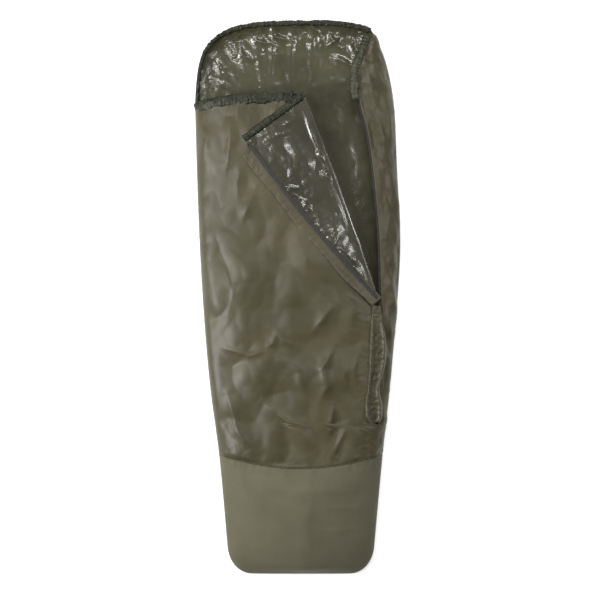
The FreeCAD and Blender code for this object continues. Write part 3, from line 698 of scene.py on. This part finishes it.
def sidePoints():
    # the arch from the zip line to the right seam, pushed out in the same way
    v, a = gridShares(side["rows"], side["across"])
    y = side["low"] + (side["high"] - side["low"]) * v
    seamX = chainX(y) + .014
    opened = ease((y + .1) / .12)
    x0 = (smoothThrough(sack["zipLine"], y) + .0085) * opened + seamX * (1 - opened)
    x0 = np.where(y < -.04, seamX * (1 - opened) + .3395 * opened, x0)
    angle = archAngle(x0, y)
    points = archPlace(angle + (np.pi - angle) * a, y + 0 * a)
    x, y = points[..., 0], points[..., 1]
    fromZip = (x - x0)
    fromSeam = (1 - a) * np.pi * .3 + 0 * y
    calm = ease(fromSeam / .25) * ease((fromZip - .002) / .018)
    height = side["facet"] * (creased(x / .09 + y, y / .2, 51, 30) - .35)
    height += side["strokeGain"] * strokeHeight(x, y, side["strokes"])
    height += side["zipPucker"] * (ridged(x / .06 + y * 5, y / .03, 53) - .45) * np.exp(-fromZip / .03)
    height += side["smallFacet"] * (creased(x / .035 + y * 6, y / .06, 57, 26) - .3)
    headPucker = (creased(y / .034 + x * 9, x / .12, 59, 26) - .3) * ease((y - .78) / .06)
    height += side["headPucker"] * headPucker * np.exp(-fromZip / .055)
    points = pushed(points, height * calm)
    points[..., 2] += side["roll"] * np.exp(-fromZip / .006) * ease((y + .02) / .1)  # a rolled edge
    tucked = ease((-.492 - y) / .01) * np.sin(np.pi * np.clip(a, .02, .98)) ** .3  # under the top cloth
    points[..., 2] -= side["tuck"] * tucked
    return points


sidePiece = gridPiece("side_cloth", sidePoints(), outerCloth, "bag", ["side_panel"],
                      side["wall"],
                      coatedCloth)
print("side cloth made")

# foot section
foot = {
    "rows": 110, "across": 130, "wall": .0006, "gap": .0005, "facet": .003, "seamPucker": .0075,
    "fan": .003, "ridge": .034,
    "strokes": [
        (16, 3.5, (52, -700), (58, -800), (40, -900), (50, -1000), (46, -1090)),
        (14, 2.5, (-10, -860), (-60, -830), (-90, -815)),
        (10, 3, (-250, -690), (-225, -730), (-205, -760)),
        (12, 3, (30, -690), (45, -730), (40, -800)),
        (12, 2.2, (80, -770), (170, -785), (270, -775)),
        (12, 2, (90, -850), (190, -845), (280, -860)),
        (12, 2, (70, -930), (170, -940), (270, -930)),
        (8, 3, (-200, -700), (-150, -690), (-90, -712)),
    ],
}


def footPoints():
    # the arch from foot seam to foot edge, whose height falls away as a superellipse
    v, a = gridShares(foot["rows"], foot["across"])
    high = footSeamPlan(archShare(a))[1] - foot["gap"]
    y = high + (sack["footY"] + .0015 - high) * np.sin(v * np.pi / 2) ** .9
    points = archPlace(np.pi * a, y)
    points[-1, :, 2] = sack["seamZ"]
    x, y = points[..., 0], points[..., 1]
    fromTop = high - y
    calm = ease(np.sin(np.pi * a) * 1.6) * ease((y - sack["footY"]) / .05) * ease(fromTop / .01 + .15)
    height = foot["facet"] * (creased(x / .2, y / .16, 61) - .35) + strokeHeight(x, y, foot["strokes"])
    height += foot["seamPucker"] * (ridged(x / .024, y / .05, 63) - .5) * np.exp(-fromTop / .026)
    height += foot["fan"] * (creased(x / .05 - .3 * y, y / .14, 65) - .3) * np.exp(-fromTop / .09)
    height += foot["ridge"] * (1 - np.abs(x - .02) / .28) * ease(fromTop / .1)
    return pushed(points, height * calm)


footPiece = gridPiece("foot_cloth", footPoints(), footCloth, "bag", ["foot_top"], foot["wall"])
print("foot section made")

# groundsheet and hood wall: one coated cloth
ground = {
    "rows": 280, "across": 130, "low": -.652, "floor": .0009, "wall": .0005, "wave": .008, "radial": .019,
    "crinkle": .0022,
    "strokes": [
        (11, 12, (0, 1108), (22, 1070), (60, 1040)),
        (12, 14, (50, 1110), (85, 1075), (100, 1030)),
        (12, 14, (110, 1100), (140, 1050), (180, 1005)),
        (11, 12, (180, 1090), (160, 1050), (115, 1020)),
        (12, 12, (225, 1085), (215, 1030), (240, 980)),
        (12, 12, (-215, 1085), (-170, 1045), (-90, 1030)),
        (12, 12, (-120, 1100), (-85, 1060), (-20, 1045)),
        (18, 10, (-300, 1060), (-260, 1000), (-160, 960)),
        (18, 9, (-360, 1000), (-320, 940), (-300, 880)),
        (12, 12, (130, 985), (190, 960), (240, 930)),
        (14, 8, (-380, 900), (-330, 880), (-280, 850)),
    ],
}


def rimHeightAt(t):
    # the hood's rim rises by a quarter sine over the first 23 percent of its length, then stays level
    rise = np.minimum(1, np.sin(np.pi * np.minimum(t * 2.2, .5)))
    return sack["rimLow"] + (sack["rimHeight"] - sack["rimLow"]) * rise


def outlineY(x):
    # hood outline as a height over x, with the right edge's curve beyond it
    run = sack["hoodOutline"] + [(.299, 1.09), (.328, 1.04), (.362, .95), (.391, .8)]
    run = smoothRun(run, 400)
    order = np.argsort(run[:, 0])
    return np.interp(x, run[order, 0], run[order, 1])


def groundPoints():
    # flat floor that rises to the rim by (1 - distance / reach)^1.9, with creases that run from the rim
    v, a = gridShares(ground["rows"], ground["across"])
    a = (1 - np.cos(np.pi * a)) / 2 * .55 + a * .45
    headX = -.4165 + (.386 + .4165) * a
    high = outlineY(headX) - .004
    y = ground["low"] + (high - ground["low"]) * (1 - (1 - v) ** 1.7)
    left, right = edgesAt(np.minimum(y, .79))
    right = np.where(y > .79, .391, right)
    x = (left + .0012) + (right - .0012 - left - .0012) * a
    x = x + (headX - x) * ease((y - .7) / .12)
    rim = smoothRun(sack["hoodOutline"], 120)
    gap = np.linalg.norm(np.stack([x, y], -1)[..., None, :] - rim, axis=-1)
    nearest, reach = gap.argmin(-1), gap.min(-1)
    t = nearest / (len(rim) - 1)
    rimZ = rimHeightAt(t)
    rise = np.clip(1 - (reach - .006) / (sack["rimReach"] - .006), 0, 1)
    z = ground["floor"] + (rimZ - .008) * rise**1.9
    inside = ease(a / .06) * ease((1 - a) / .06)
    radial = 1.1 * (creased(t * 30 + reach * 3, reach / .42, 71, 30) - .24)
    radial += .34 * (creased(t * 66 - reach * 4, reach / .22, 73, 26) - .2)
    radial += .22 * (ridged(t * 105, reach / .05, 74) - .4) * np.exp(-reach / .05)
    radial *= .3 + .7 * ease((t - .26) / .2)
    nearHood = np.exp(-np.maximum(reach - .01, 0) / .13)
    lifted = ground["radial"] * np.maximum(radial, 0) * nearHood * ease(reach / .02 + .1)
    waves = ground["wave"] * np.maximum(creased(x / .16 + .3 * y, y / .22, 75, 24) - .1, 0)
    fine = ground["crinkle"] * np.maximum(creased(x / .045, y / .05, 77, 24) - .1, 0)
    hidden = ease((y + .1) / .3)
    lifted = lifted + strokeHeight(x, y, ground["strokes"]) * ease(reach / .015)
    z = z + (lifted + (waves + fine) * hidden) * inside
    return np.stack([x, y, z], -1)


groundGrid = groundPoints()
groundPiece = gridPiece("ground_cloth", groundGrid, groundCloth, "bag",
                        ["base_sheet", "hood_wall"],
                        ground["wall"], outerCloth)


def footBasePoints():
    # flat cloth inside the foot outline, with facets of about a millimetre
    v, a = gridShares(60, 60)
    y = ground["low"] + (sack["footY"] + .002 - ground["low"]) * np.sin(v * np.pi / 2)
    left, right = edgesAt(y)
    x = left + .001 + (right - left - .002) * (1 - np.cos(np.pi * a)) / 2
    z = .0008 + .001 * np.maximum(creased(x / .12, y / .12, 79), 0)
    return np.stack([x, y + 0 * x, z], -1)


footBasePiece = gridPiece("foot_base_cloth", footBasePoints(), groundCloth, "bag",
                          ["foot_base"], .0005)
print("groundsheet made")

# hems: gathered cord channels
hems = {
    "front": {"width": .042, "height": .009, "pleat": .0034, "pitch": .017},
    "hood": {"width": .017, "height": .011, "pleat": .0036, "pitch": .016},
    "side": {"width": .03, "height": .014, "pleat": .0045, "pitch": .015},
    "flap": {"width": .026, "height": .009, "pleat": .0032, "pitch": .018},
}


def gatheredHem(name, run, settings, finish, replaced, body, seed, widthAt=None):
    # a flat tube whose radius swells and sinks in narrow pleats across the hem
    length = runLength(run)
    path = resampled(run, int(length / .0035))

    def bulge(t, angle):
        place = t * length / settings["pitch"]
        pleats = ridged(place + .6 * np.sin(angle * 2 + t * 40), np.cos(angle) * 1.3, seed) - .45
        fine = softNoise(place * 2.3, np.sin(angle) * 2, seed + 3)
        return settings["pleat"] * (1.2 * pleats + .5 * fine)

    t = np.linspace(0, 1, len(path))
    width = settings["width"] * (1 if widthAt is None else np.interp(t, *widthAt))
    width = width * (1 + .3 * softNoise(t * length / .04, 0 * t, seed + 5))
    tube = tubeGrid(path, width, settings["height"], 26, bulge)
    return gridPiece(name, tube, finish, body, [replaced], tube=True)


frontRun = [(x, y - .004, 0) for x, y in sack["frontLine"]]
frontRun = smoothRun([(-.4135, .766, 0)] + frontRun + [(.03, .806, 0)], 60)
frontRun[:, 2] = topHeight(frontRun[:, 0], frontRun[:, 1]) - .0022
frontHem = gatheredHem("front_hem_cloth", frontRun, hems["front"], hemCloth, "front_hem", "bag", 81)

hoodRun = smoothRun([(x, y, 0) for x, y in sack["hoodOutline"]] + [(.3, 1.09, 0)], 140)
hoodT = np.linspace(0, 1, len(hoodRun))
_, outward, _ = pathFrames(hoodRun)
hoodRun = hoodRun + outward * .01
hoodRun[:, 2] = rimHeightAt(hoodT) - .0025
hoodHem = gatheredHem("hood_hem_cloth", hoodRun, hems["hood"], hemCloth, "hood_hem", "bag", 91,
                       ([0, .25, .45, 1], [.65, .8, 1.15, 1.2]))

sideY = np.linspace(.8, 1.08, 40)
sideX = smoothThrough(sack["zipLine"], sideY) - .006
sideRun = np.stack([sideX, sideY, topHeight(sideX, sideY) - .002], 1)
sideHem = gatheredHem("side_hem_cloth", sideRun, hems["side"], sideHemCloth, "side_hem", "bag", 101,
                       ([0, .2, .6, .75, 1], [1.1, 1.15, .9, .7, 1.0]))

flapT = np.linspace(.03, 1.0, 40)[:, None]
hemStart, hemEnd = np.array(sack["foldHead"]), np.array(sack["flapCorner"])
flapRun = hemStart + flapT * (hemEnd - hemStart) + [-.006, .0085]
flapRun = np.concatenate([flapRun, (topHeight(flapRun[:, 0], flapRun[:, 1]) + .0095)[:, None]], 1)
flapHem = gatheredHem("flap_hem_cloth", flapRun, hems["flap"], hemCloth, "flap_hem", "flap", 111)
print("hems made")

# the cord inside each channel
drawcord = {"diameter": .0037, "strands": 5, "braid": .0105, "relief": .00022, "step": .0009}


def channelCord(name, run, replaced, body):
    # round cord on the channel's middle line; its strands cross as one slanted cosine times its mirror image
    length = runLength(run)
    path = resampled(run, int(length / drawcord["step"]))

    def bulge(t, angle):
        turn = 2 * np.pi * t * length / drawcord["braid"] * drawcord["strands"] / 2
        strand = drawcord["strands"] * angle
        return drawcord["relief"] * np.cos(strand + turn) * np.cos(strand - turn)

    width = drawcord["diameter"]
    gridPiece(name, tubeGrid(path, width, width, 20, bulge), cordFinish, body, [replaced], tube=True)


for label, run, body in (("front", frontRun, "bag"), ("hood", hoodRun, "bag"), ("side", sideRun, "bag"),
                         ("flap", flapRun, "flap")):
    channelCord(f"drawcord_{label}_braid", run[1:-1], f"drawcord_{label}", body)
print("drawcords made")

# zip
zipper = {"pitch": .0026, "wire": .00042, "coil": .0022, "tape": .0006, "stitch": .0052, "stitchLong": .0032,
          "stitchWide": .0007}


def helixPoints(path, side):
    # coil wire: a ring that winds round the path once each pitch
    length = runLength(path)
    turns = length / zipper["pitch"]
    centre = resampled(path, int(turns * 7))
    tangent, right, upward = pathFrames(centre)
    angle = np.linspace(0, turns * 2 * np.pi, len(centre))
    radius = zipper["coil"] / 2 - zipper["wire"]
    line = (centre + right * (radius * np.cos(angle))[:, None] * side
            + upward * (radius * np.sin(angle))[:, None])
    return tubeGrid(line, zipper["wire"] * 2, zipper["wire"] * 2, 4)


def zipHalf(label, coilRun, side, tapeRows, body, coilFinish=shadedCoilFinish):
    # the wound coil and the woven tape of one half, each in place of its CAD node
    gridPiece(f"zip_coil_{label}_wound", helixPoints(coilRun, side), coilFinish, body,
              [f"zip_coil_{label}"],
              tube=True)
    gridPiece(f"zip_tape_{label}_woven", tapeRows, zipTapeCloth, body, [f"zip_tape_{label}"],
              zipper["tape"])


def stitchRow(name, path, body, finish):
    # a row of short raised stitches along a path: each a bar that narrows upwards
    length, width = zipper["stitchLong"], zipper["stitchWide"]
    count = int(runLength(path) / zipper["stitch"])
    centre = resampled(path, count)
    tangent, right, upward = pathFrames(centre)
    outline = np.array([(-.5, -1), (.5, -1), (.5, 1), (-.5, 1)])
    low = (centre[:, None] + tangent[:, None] * (outline[:, :1] * length)
           + right[:, None] * (outline[:, 1:] * width / 2))
    high = (centre[:, None] + tangent[:, None] * (outline[:, :1] * length * .7)
            + right[:, None] * (outline[:, 1:] * width / 3)
            + upward[:, None] * width)
    points = np.concatenate([low, high], 1).reshape(-1, 3)
    faces = np.array([(0, 1, 5, 4), (1, 2, 6, 5), (2, 3, 7, 6), (3, 0, 4, 7), (4, 5, 6, 7), (3, 2, 1, 0)])
    allFaces = (faces[None] + 8 * np.arange(count)[:, None, None]).reshape(-1, 4)
    mesh = bpy.data.meshes.new(name)
    mesh.from_pydata(points.tolist(), [], allFaces.tolist())
    closeUp(mesh)
    finishPiece(name, mesh, finish, body)


def surfaceRun(p, off, lift):
    # along the zip edge: the sack's height there plus a lift
    plan = zipEdge(p, off)
    return np.concatenate([plan, (topHeight(plan[:, 0], plan[:, 1]) + lift)[:, None]], 1)


# open half on the turned-back corner
alongFlap = np.linspace(.02, .985, 260)
flapTape = np.stack([surfaceRun(alongFlap, off, .0063) for off in np.linspace(-.013, .0004, 6)], 1)
zipHalf("flap", surfaceRun(alongFlap, .0012, .007), 1, flapTape, "flap", coilFinish)
for label, off in (("outer", -.004), ("inner", -.0115)):
    stitchRow(f"stitches_flap_{label}", surfaceRun(np.linspace(.05, .98, 200), off, .0064), "flap",
              threadFinish)

# open half on the side cloth
openY = np.linspace(-.035, .785, 260)


def rightRun(off, lift):
    # along the zip line: the sack's height, sunk by 3 mm and by a bell curve round the slider
    x = smoothThrough(sack["zipLine"], openY) + off
    drop = .003 + .005 * np.exp(-((openY - foldStart[1]) / .12) ** 2)
    return np.stack([x, openY, topHeight(x, openY) + lift - drop], 1)


rightTape = np.stack([rightRun(off, 0) for off in np.linspace(-.0002, .0135, 6)], 1)
# the right half's coil takes the darker copy of the coil finish, which is painted shade
zipHalf("right", rightRun(-.0014, .0004), -1, rightTape, "bag")

# closed stretch, straight in space
sliderWay = np.array(joints["slider_travel"]["axis"])
pullWay = np.array(joints["pull_swing"]["axis"])
chainTop = np.array(sack["chainTop"])
chainStart = np.array([*chainTop, float(topHeight(chainTop[0], chainTop[1])) - .006])
chainFar = np.linspace(-.006, .452, 120)
# the closed halves' coils also take the darker copy, which is painted shade
for label, sideSign in (("left", -1), ("right", 1)):
    middle = chainStart + sliderWay * chainFar[:, None] + pullWay * sideSign * .0029
    tape = np.stack([chainStart + sliderWay * np.linspace(-.006, .46, 60)[:, None] + pullWay * sideSign * off
                     for off in np.linspace(.0043, .017, 5)], 1)
    zipHalf(f"closed_{label}", middle, sideSign, tape, "bag")
print("zip made")

# storm flap
placket = {
    "upperOut": .046, "upperIn": -.02, "upperLift": .0022,
    "leftEdge": [(-.5, .272), (-.42, .272), (-.363, .282), (-.3, .286), (-.15, .292), (-.062, .3),
                 (-.03, .304)],
    "rightEdge": [(-.5, .342), (-.46, .346), (-.42, .343), (-.375, .332), (-.34, .34), (-.253, .36),
                  (-.15, .357),
                  (-.09, .345), (-.03, .338)],
    "ridge": .013, "lift": .003, "wall": .0009,
}


def upperStormPoints():
    # strip that lies on the top cloth along the zip edge, its free edge a little wavy and turned up
    p = np.linspace(.0, .99, 190)[:, None]
    v = np.linspace(0, 1, 16)[None, :]
    width = placket["upperOut"] * (.86 + .14 * np.sin(p * 9.0) ** 2) * (1 - .22 * ease((.25 - p) / .25))
    off = placket["upperIn"] + (width + .002 * softNoise(p * 22, 0 * p, 121) - placket["upperIn"]) * v
    plan = zipEdge(p * np.ones_like(v), off)
    x, y = plan[..., 0], plan[..., 1]
    ripple = .0022 * (ridged(p * 30, v * 1.5, 123) - .3) * ease((v - .3) / .5)
    edge = .0018 * np.exp(-((v - .96) / .06) ** 2)
    return np.stack([x, y, topHeight(x, y) + placket["upperLift"] + ripple + edge], -1)


upperPiece = gridPiece("storm_flap_upper_cloth", upperStormPoints(), placketCloth, "flap",
                       ["storm_flap_upper"], placket["wall"])


def lowerStormPoints():
    # band over the closed zip: puffed along both edges, sunk along the middle, pinched once
    u, v = gridShares(190, 40)
    y = -.034 + (-.506 + .034) * u
    left, right = smoothThrough(placket["leftEdge"], y), smoothThrough(placket["rightEdge"], y)
    rounded = .014 * (1 - np.sqrt(1 - np.clip((-.486 - y) / .0205, 0, 1) ** 2))
    left, right = left + rounded, right - rounded
    x = left + (right - left) * v + .002 * softNoise(y / .03, v * 2, 131)
    y = y + 0 * v
    swell = ease((-.07 - y) / .08) * ease((y + .515) / .03)
    ridges = np.exp(-((v - .14) / .13) ** 2) + .9 * np.exp(-((v - .86) / .13) ** 2)
    pinch = 1 - .6 * np.exp(-((y + .363) / .022) ** 2)
    folds = .003 * (ridged(v * 2.0 + y * 6, y / .03, 133) - .4) + .0018 * (creased(v * 5, y / .02, 135) - .3)
    edge = ease(v / .06) * ease((1 - v) / .05)
    z = topHeight(x, y) + placket["lift"] + (placket["ridge"] * ridges * swell * pinch + .004 * swell
                                             + folds) * edge
    return np.stack([x, y, z], -1)


lowerPiece = gridPiece("storm_flap_lower_cloth", lowerStormPoints(), placketCloth,
                       "storm_flap",
                       ["storm_flap_lower"], placket["wall"])
print("storm flap made")

# seams
seams = {"bead": .0024, "puckerPitch": .012}


def seamBead(name, path, replaced, finish, seed, radius=seams["bead"]):
    # a bar along the seam whose radius varies by a third with noise
    length = runLength(path)
    path = resampled(path, int(length / .004))

    def bulge(t, angle):
        return radius * .35 * softNoise(t * length / seams["puckerPitch"], np.cos(angle), seed)

    gridPiece(name, tubeGrid(path, radius * 2, radius * 2, 10, bulge), finish, "bag", [replaced],
              tube=True)


for index, (label, low, high) in enumerate((("left", -.632, .775), ("right", -.632, 1.086))):
    y = np.linspace(low, high, 80)
    x = edgesAt(y)[index] + (.0022, -.0022)[index]
    seamBead(f"side_seam_{label}_bead", np.stack([x, y, 0 * y + .005], 1), f"side_seam_{label}", outerCloth,
             141 + index)

edgeY = np.concatenate([np.linspace(-.655, -.985, 30), -.985
                        - .14 * np.sin(np.linspace(0, np.pi / 2, 40))[1:]])
edgeLeft, edgeRight = edgesAt(edgeY)
rimLeft = np.stack([edgeLeft + .0035, edgeY + .0035 * ease((-1.0 - edgeY) / .12)], 1)
rimRight = np.stack([edgeRight - .0035, edgeY + .0035 * ease((-1.0 - edgeY) / .12)], 1)
rim = resampled(np.concatenate([rimLeft, rimRight[::-1]]), 300)
seamBead("foot_edge_bead", np.concatenate([rim, np.full((len(rim), 1), .005)], 1), "foot_edge_seam",
         footCloth, 145)

share = np.linspace(.035, .965, 160)
seamX, seamY = footSeamPlan(share)
seamY = seamY - .002 + .0012 * softNoise(share * 40, 0 * share, 147)
seamLine = np.stack([seamX, seamY + .0015, topHeight(seamX, seamY) + .0002], 1)
seamBead("foot_seam_bead", seamLine, "foot_seam", outerCloth, 149, .0026)
stitchRow("stitches_foot_seam", seamLine + [0, .0065, .0012], "bag", footCloth)

# sealing tape inside, beside each side seam
sealTape = {"from": .009, "width": .02, "lift": .0009, "low": -.56, "high": .62, "wall": .0003}


def groundUnder(x, y):
    # the groundsheet's height at a place: its four nearest grid points, weighted by nearness
    gap = np.hypot(groundGrid[..., 0].ravel() - x, groundGrid[..., 1].ravel() - y)
    near = np.argpartition(gap, 4)[:4]
    weight = 1 / (gap[near] + 1e-6)
    return (groundGrid[..., 2].ravel()[near] * weight).sum() / weight.sum()


for index, label in enumerate(("left", "right")):
    y = np.linspace(sealTape["low"], sealTape["high"], 150)[:, None]
    inward = (1, -1)[index]
    x = edgesAt(y)[index] + inward * (sealTape["from"] + sealTape["width"] * np.linspace(0, 1, 6)[None, :])
    y = y + 0 * x
    under = [groundUnder(*place) for place in zip(x.ravel(), y.ravel())]
    z = np.array(under).reshape(x.shape) + sealTape["lift"]
    z = z + .0002 * softNoise(y / .012, x / .008, 151 + index)
    gridPiece(f"seam_tape_{label}_strip", np.stack([x, y, z], -1), tapeFinish, "bag",
              [f"seam_tape_{label}"], sealTape["wall"])
print("seams made")

# cord lock's cord
lockLow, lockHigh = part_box("lock_barrel")
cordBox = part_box("lock_cord_end")
cordY, cordZ = (cordBox[0].y + cordBox[1].y) / 2, (cordBox[0].z + cordBox[1].z) / 2
cordEnd = {"diameter": .004, "knot": .0072}
route = [(lockHigh.x + .01, cordY - .002, cordZ - .0085), (lockHigh.x + .0075, cordY, cordZ - .002),
         (lockHigh.x + .002, cordY, cordZ), (lockLow.x, cordY, cordZ), (lockLow.x - .012, cordY, cordZ),
         (lockLow.x - .0245, cordY, cordZ)]
line = bpy.data.curves.new("drawcord_end_line", "CURVE")
line.dimensions = "3D"
line.bevel_depth = cordEnd["diameter"] / 2
line.bevel_resolution = 3
line.use_fill_caps = True
spline = line.splines.new("NURBS")
spline.points.add(len(route) - 1)
for point, place in zip(spline.points, route):
    point.co = (*place, 1)
spline.order_u = 3
spline.use_endpoint_u = True
line.materials.append(cordFinish)
cordPiece = newObject("drawcord_end", line)
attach(cordPiece, "bag")
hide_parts("lock_cord_end")


def knotPoints():
    # overhand knot: a trefoil run round the cord's end
    t = np.linspace(0, 2 * np.pi, 90, endpoint=False)
    size = cordEnd["knot"] / 6
    wide = 2 + np.cos(3 * t)
    run = np.stack([1.2 * np.sin(3 * t), wide * np.cos(2 * t), wide * np.sin(2 * t)], 1)
    run = run * size + [route[-1][0] - .002, cordY, cordZ]
    tangent = np.gradient(np.concatenate([run, run[:1]]), axis=0)[:-1]
    tangent /= np.linalg.norm(tangent, axis=1, keepdims=True)
    sideways = np.cross(tangent, [.3, .5, .8])
    sideways /= np.linalg.norm(sideways, axis=1, keepdims=True)
    upward = np.cross(sideways, tangent)
    turn = np.linspace(0, 2 * np.pi, 10, endpoint=False)
    rings = run[:, None] + .0017 * (sideways[:, None] * np.cos(turn)[:, None]
                                    + upward[:, None] * np.sin(turn)[:, None])
    return np.concatenate([rings, rings[:1]])


knotPiece = gridPiece("drawcord_knot", knotPoints(), cordFinish, "bag", tube=True)
print("cord made")

# spring inside the cord lock
springLow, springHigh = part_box("lock_spring")
spring = {"turns": 4.5, "wire": .00045}


def springPoints():
    # helix along y: radius * (cos, sin) of the turn, starting at the low y
    t = np.linspace(0, 1, 200)
    turn = t * spring["turns"] * 2 * np.pi
    radius = (springHigh.x - springLow.x) / 2 - spring["wire"]
    length = springHigh.y - springLow.y - 2 * spring["wire"]
    centre = (springLow.x + springHigh.x) / 2, springLow.y + spring["wire"], (springLow.z + springHigh.z) / 2
    run = np.stack([centre[0] + radius * np.cos(turn), centre[1] + length * t, centre[2]
                    + radius * np.sin(turn)], 1)
    return tubeGrid(run, spring["wire"] * 2, spring["wire"] * 2, 8)


springPiece = gridPiece("lock_spring_wound", springPoints(), steelFinish, "lock",
                        ["lock_spring"],
                        tube=True)
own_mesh(springPiece)
print("spring made")

# studio
studio = {"distance": 9.0, "shown": 2.4, "look": (-.006, .006, .05)}
floorMesh = bpy.data.meshes.new("studio_floor")
floorCorners = [(40 * x, 40 * y, -.0008) for x, y in ((-1, -1), (1, -1), (1, 1), (-1, 1))]
floorMesh.from_pydata(floorCorners, [], [(0, 1, 2, 3)])
floor = newObject("studio_floor", floorMesh)
paper = bpy.data.materials.new("paper")
paper.use_nodes = True
for label, value in (("Base Color", (.93, .93, .93, 1)), ("Roughness", .9), ("Specular IOR Level", .1),
                     ("Emission Color", (1, 1, 1, 1)), ("Emission Strength", .6)):
    paper.node_tree.nodes["Principled BSDF"].inputs[label].default_value = value
floorMesh.materials.append(paper)

world = bpy.data.worlds.new("studio")
bpy.context.scene.world = world
world.use_nodes = True
world.node_tree.nodes["Background"].inputs["Color"].default_value = (1, 1, 1, 1)
world.node_tree.nodes["Background"].inputs["Strength"].default_value = .09


def softbox(name, place, size, power):
    # a rectangular lamp turned to the origin
    lamp = bpy.data.lights.new(name, "AREA")
    lamp.shape, lamp.size, lamp.size_y, lamp.energy = "RECTANGLE", size[0], size[1], power
    box = newObject(name, lamp)
    box.location = place
    way = np.array([0, 0, 0]) - np.array(place)
    box.rotation_euler = (math.atan2(math.hypot(way[0], way[1]), -way[2]), 0, math.atan2(way[0], -way[1])
                          + math.pi)


softbox("key_light", (-3.9, -.5, 3.1), (.9, 2.6), 170)
softbox("left_strip", (-2.3, .8, 4.4), (.22, 2.6), 46)
softbox("right_strip", (2.7, .9, 4.3), (.22, 2.4), 38)
softbox("head_strip", (.5, 3.1, 4.4), (2.0, .22), 52)
softbox("fill_light", (3.6, .2, 3.0), (.8, 3.0), 8)
softbox("head_light", (-.3, 4.4, 3.4), (2.4, .8), 60)

camera = bpy.data.cameras.new("camera")
camera.sensor_width = 36
camera.lens = 18 / (studio["shown"] / 2 / (studio["distance"] - .05))
camera.clip_end = 100
viewer = newObject("camera", camera)
viewer.location = (studio["look"][0], studio["look"][1], studio["distance"])
bpy.context.scene.camera = viewer
bpy.context.scene.view_settings.view_transform = "Standard"
print("studio made")
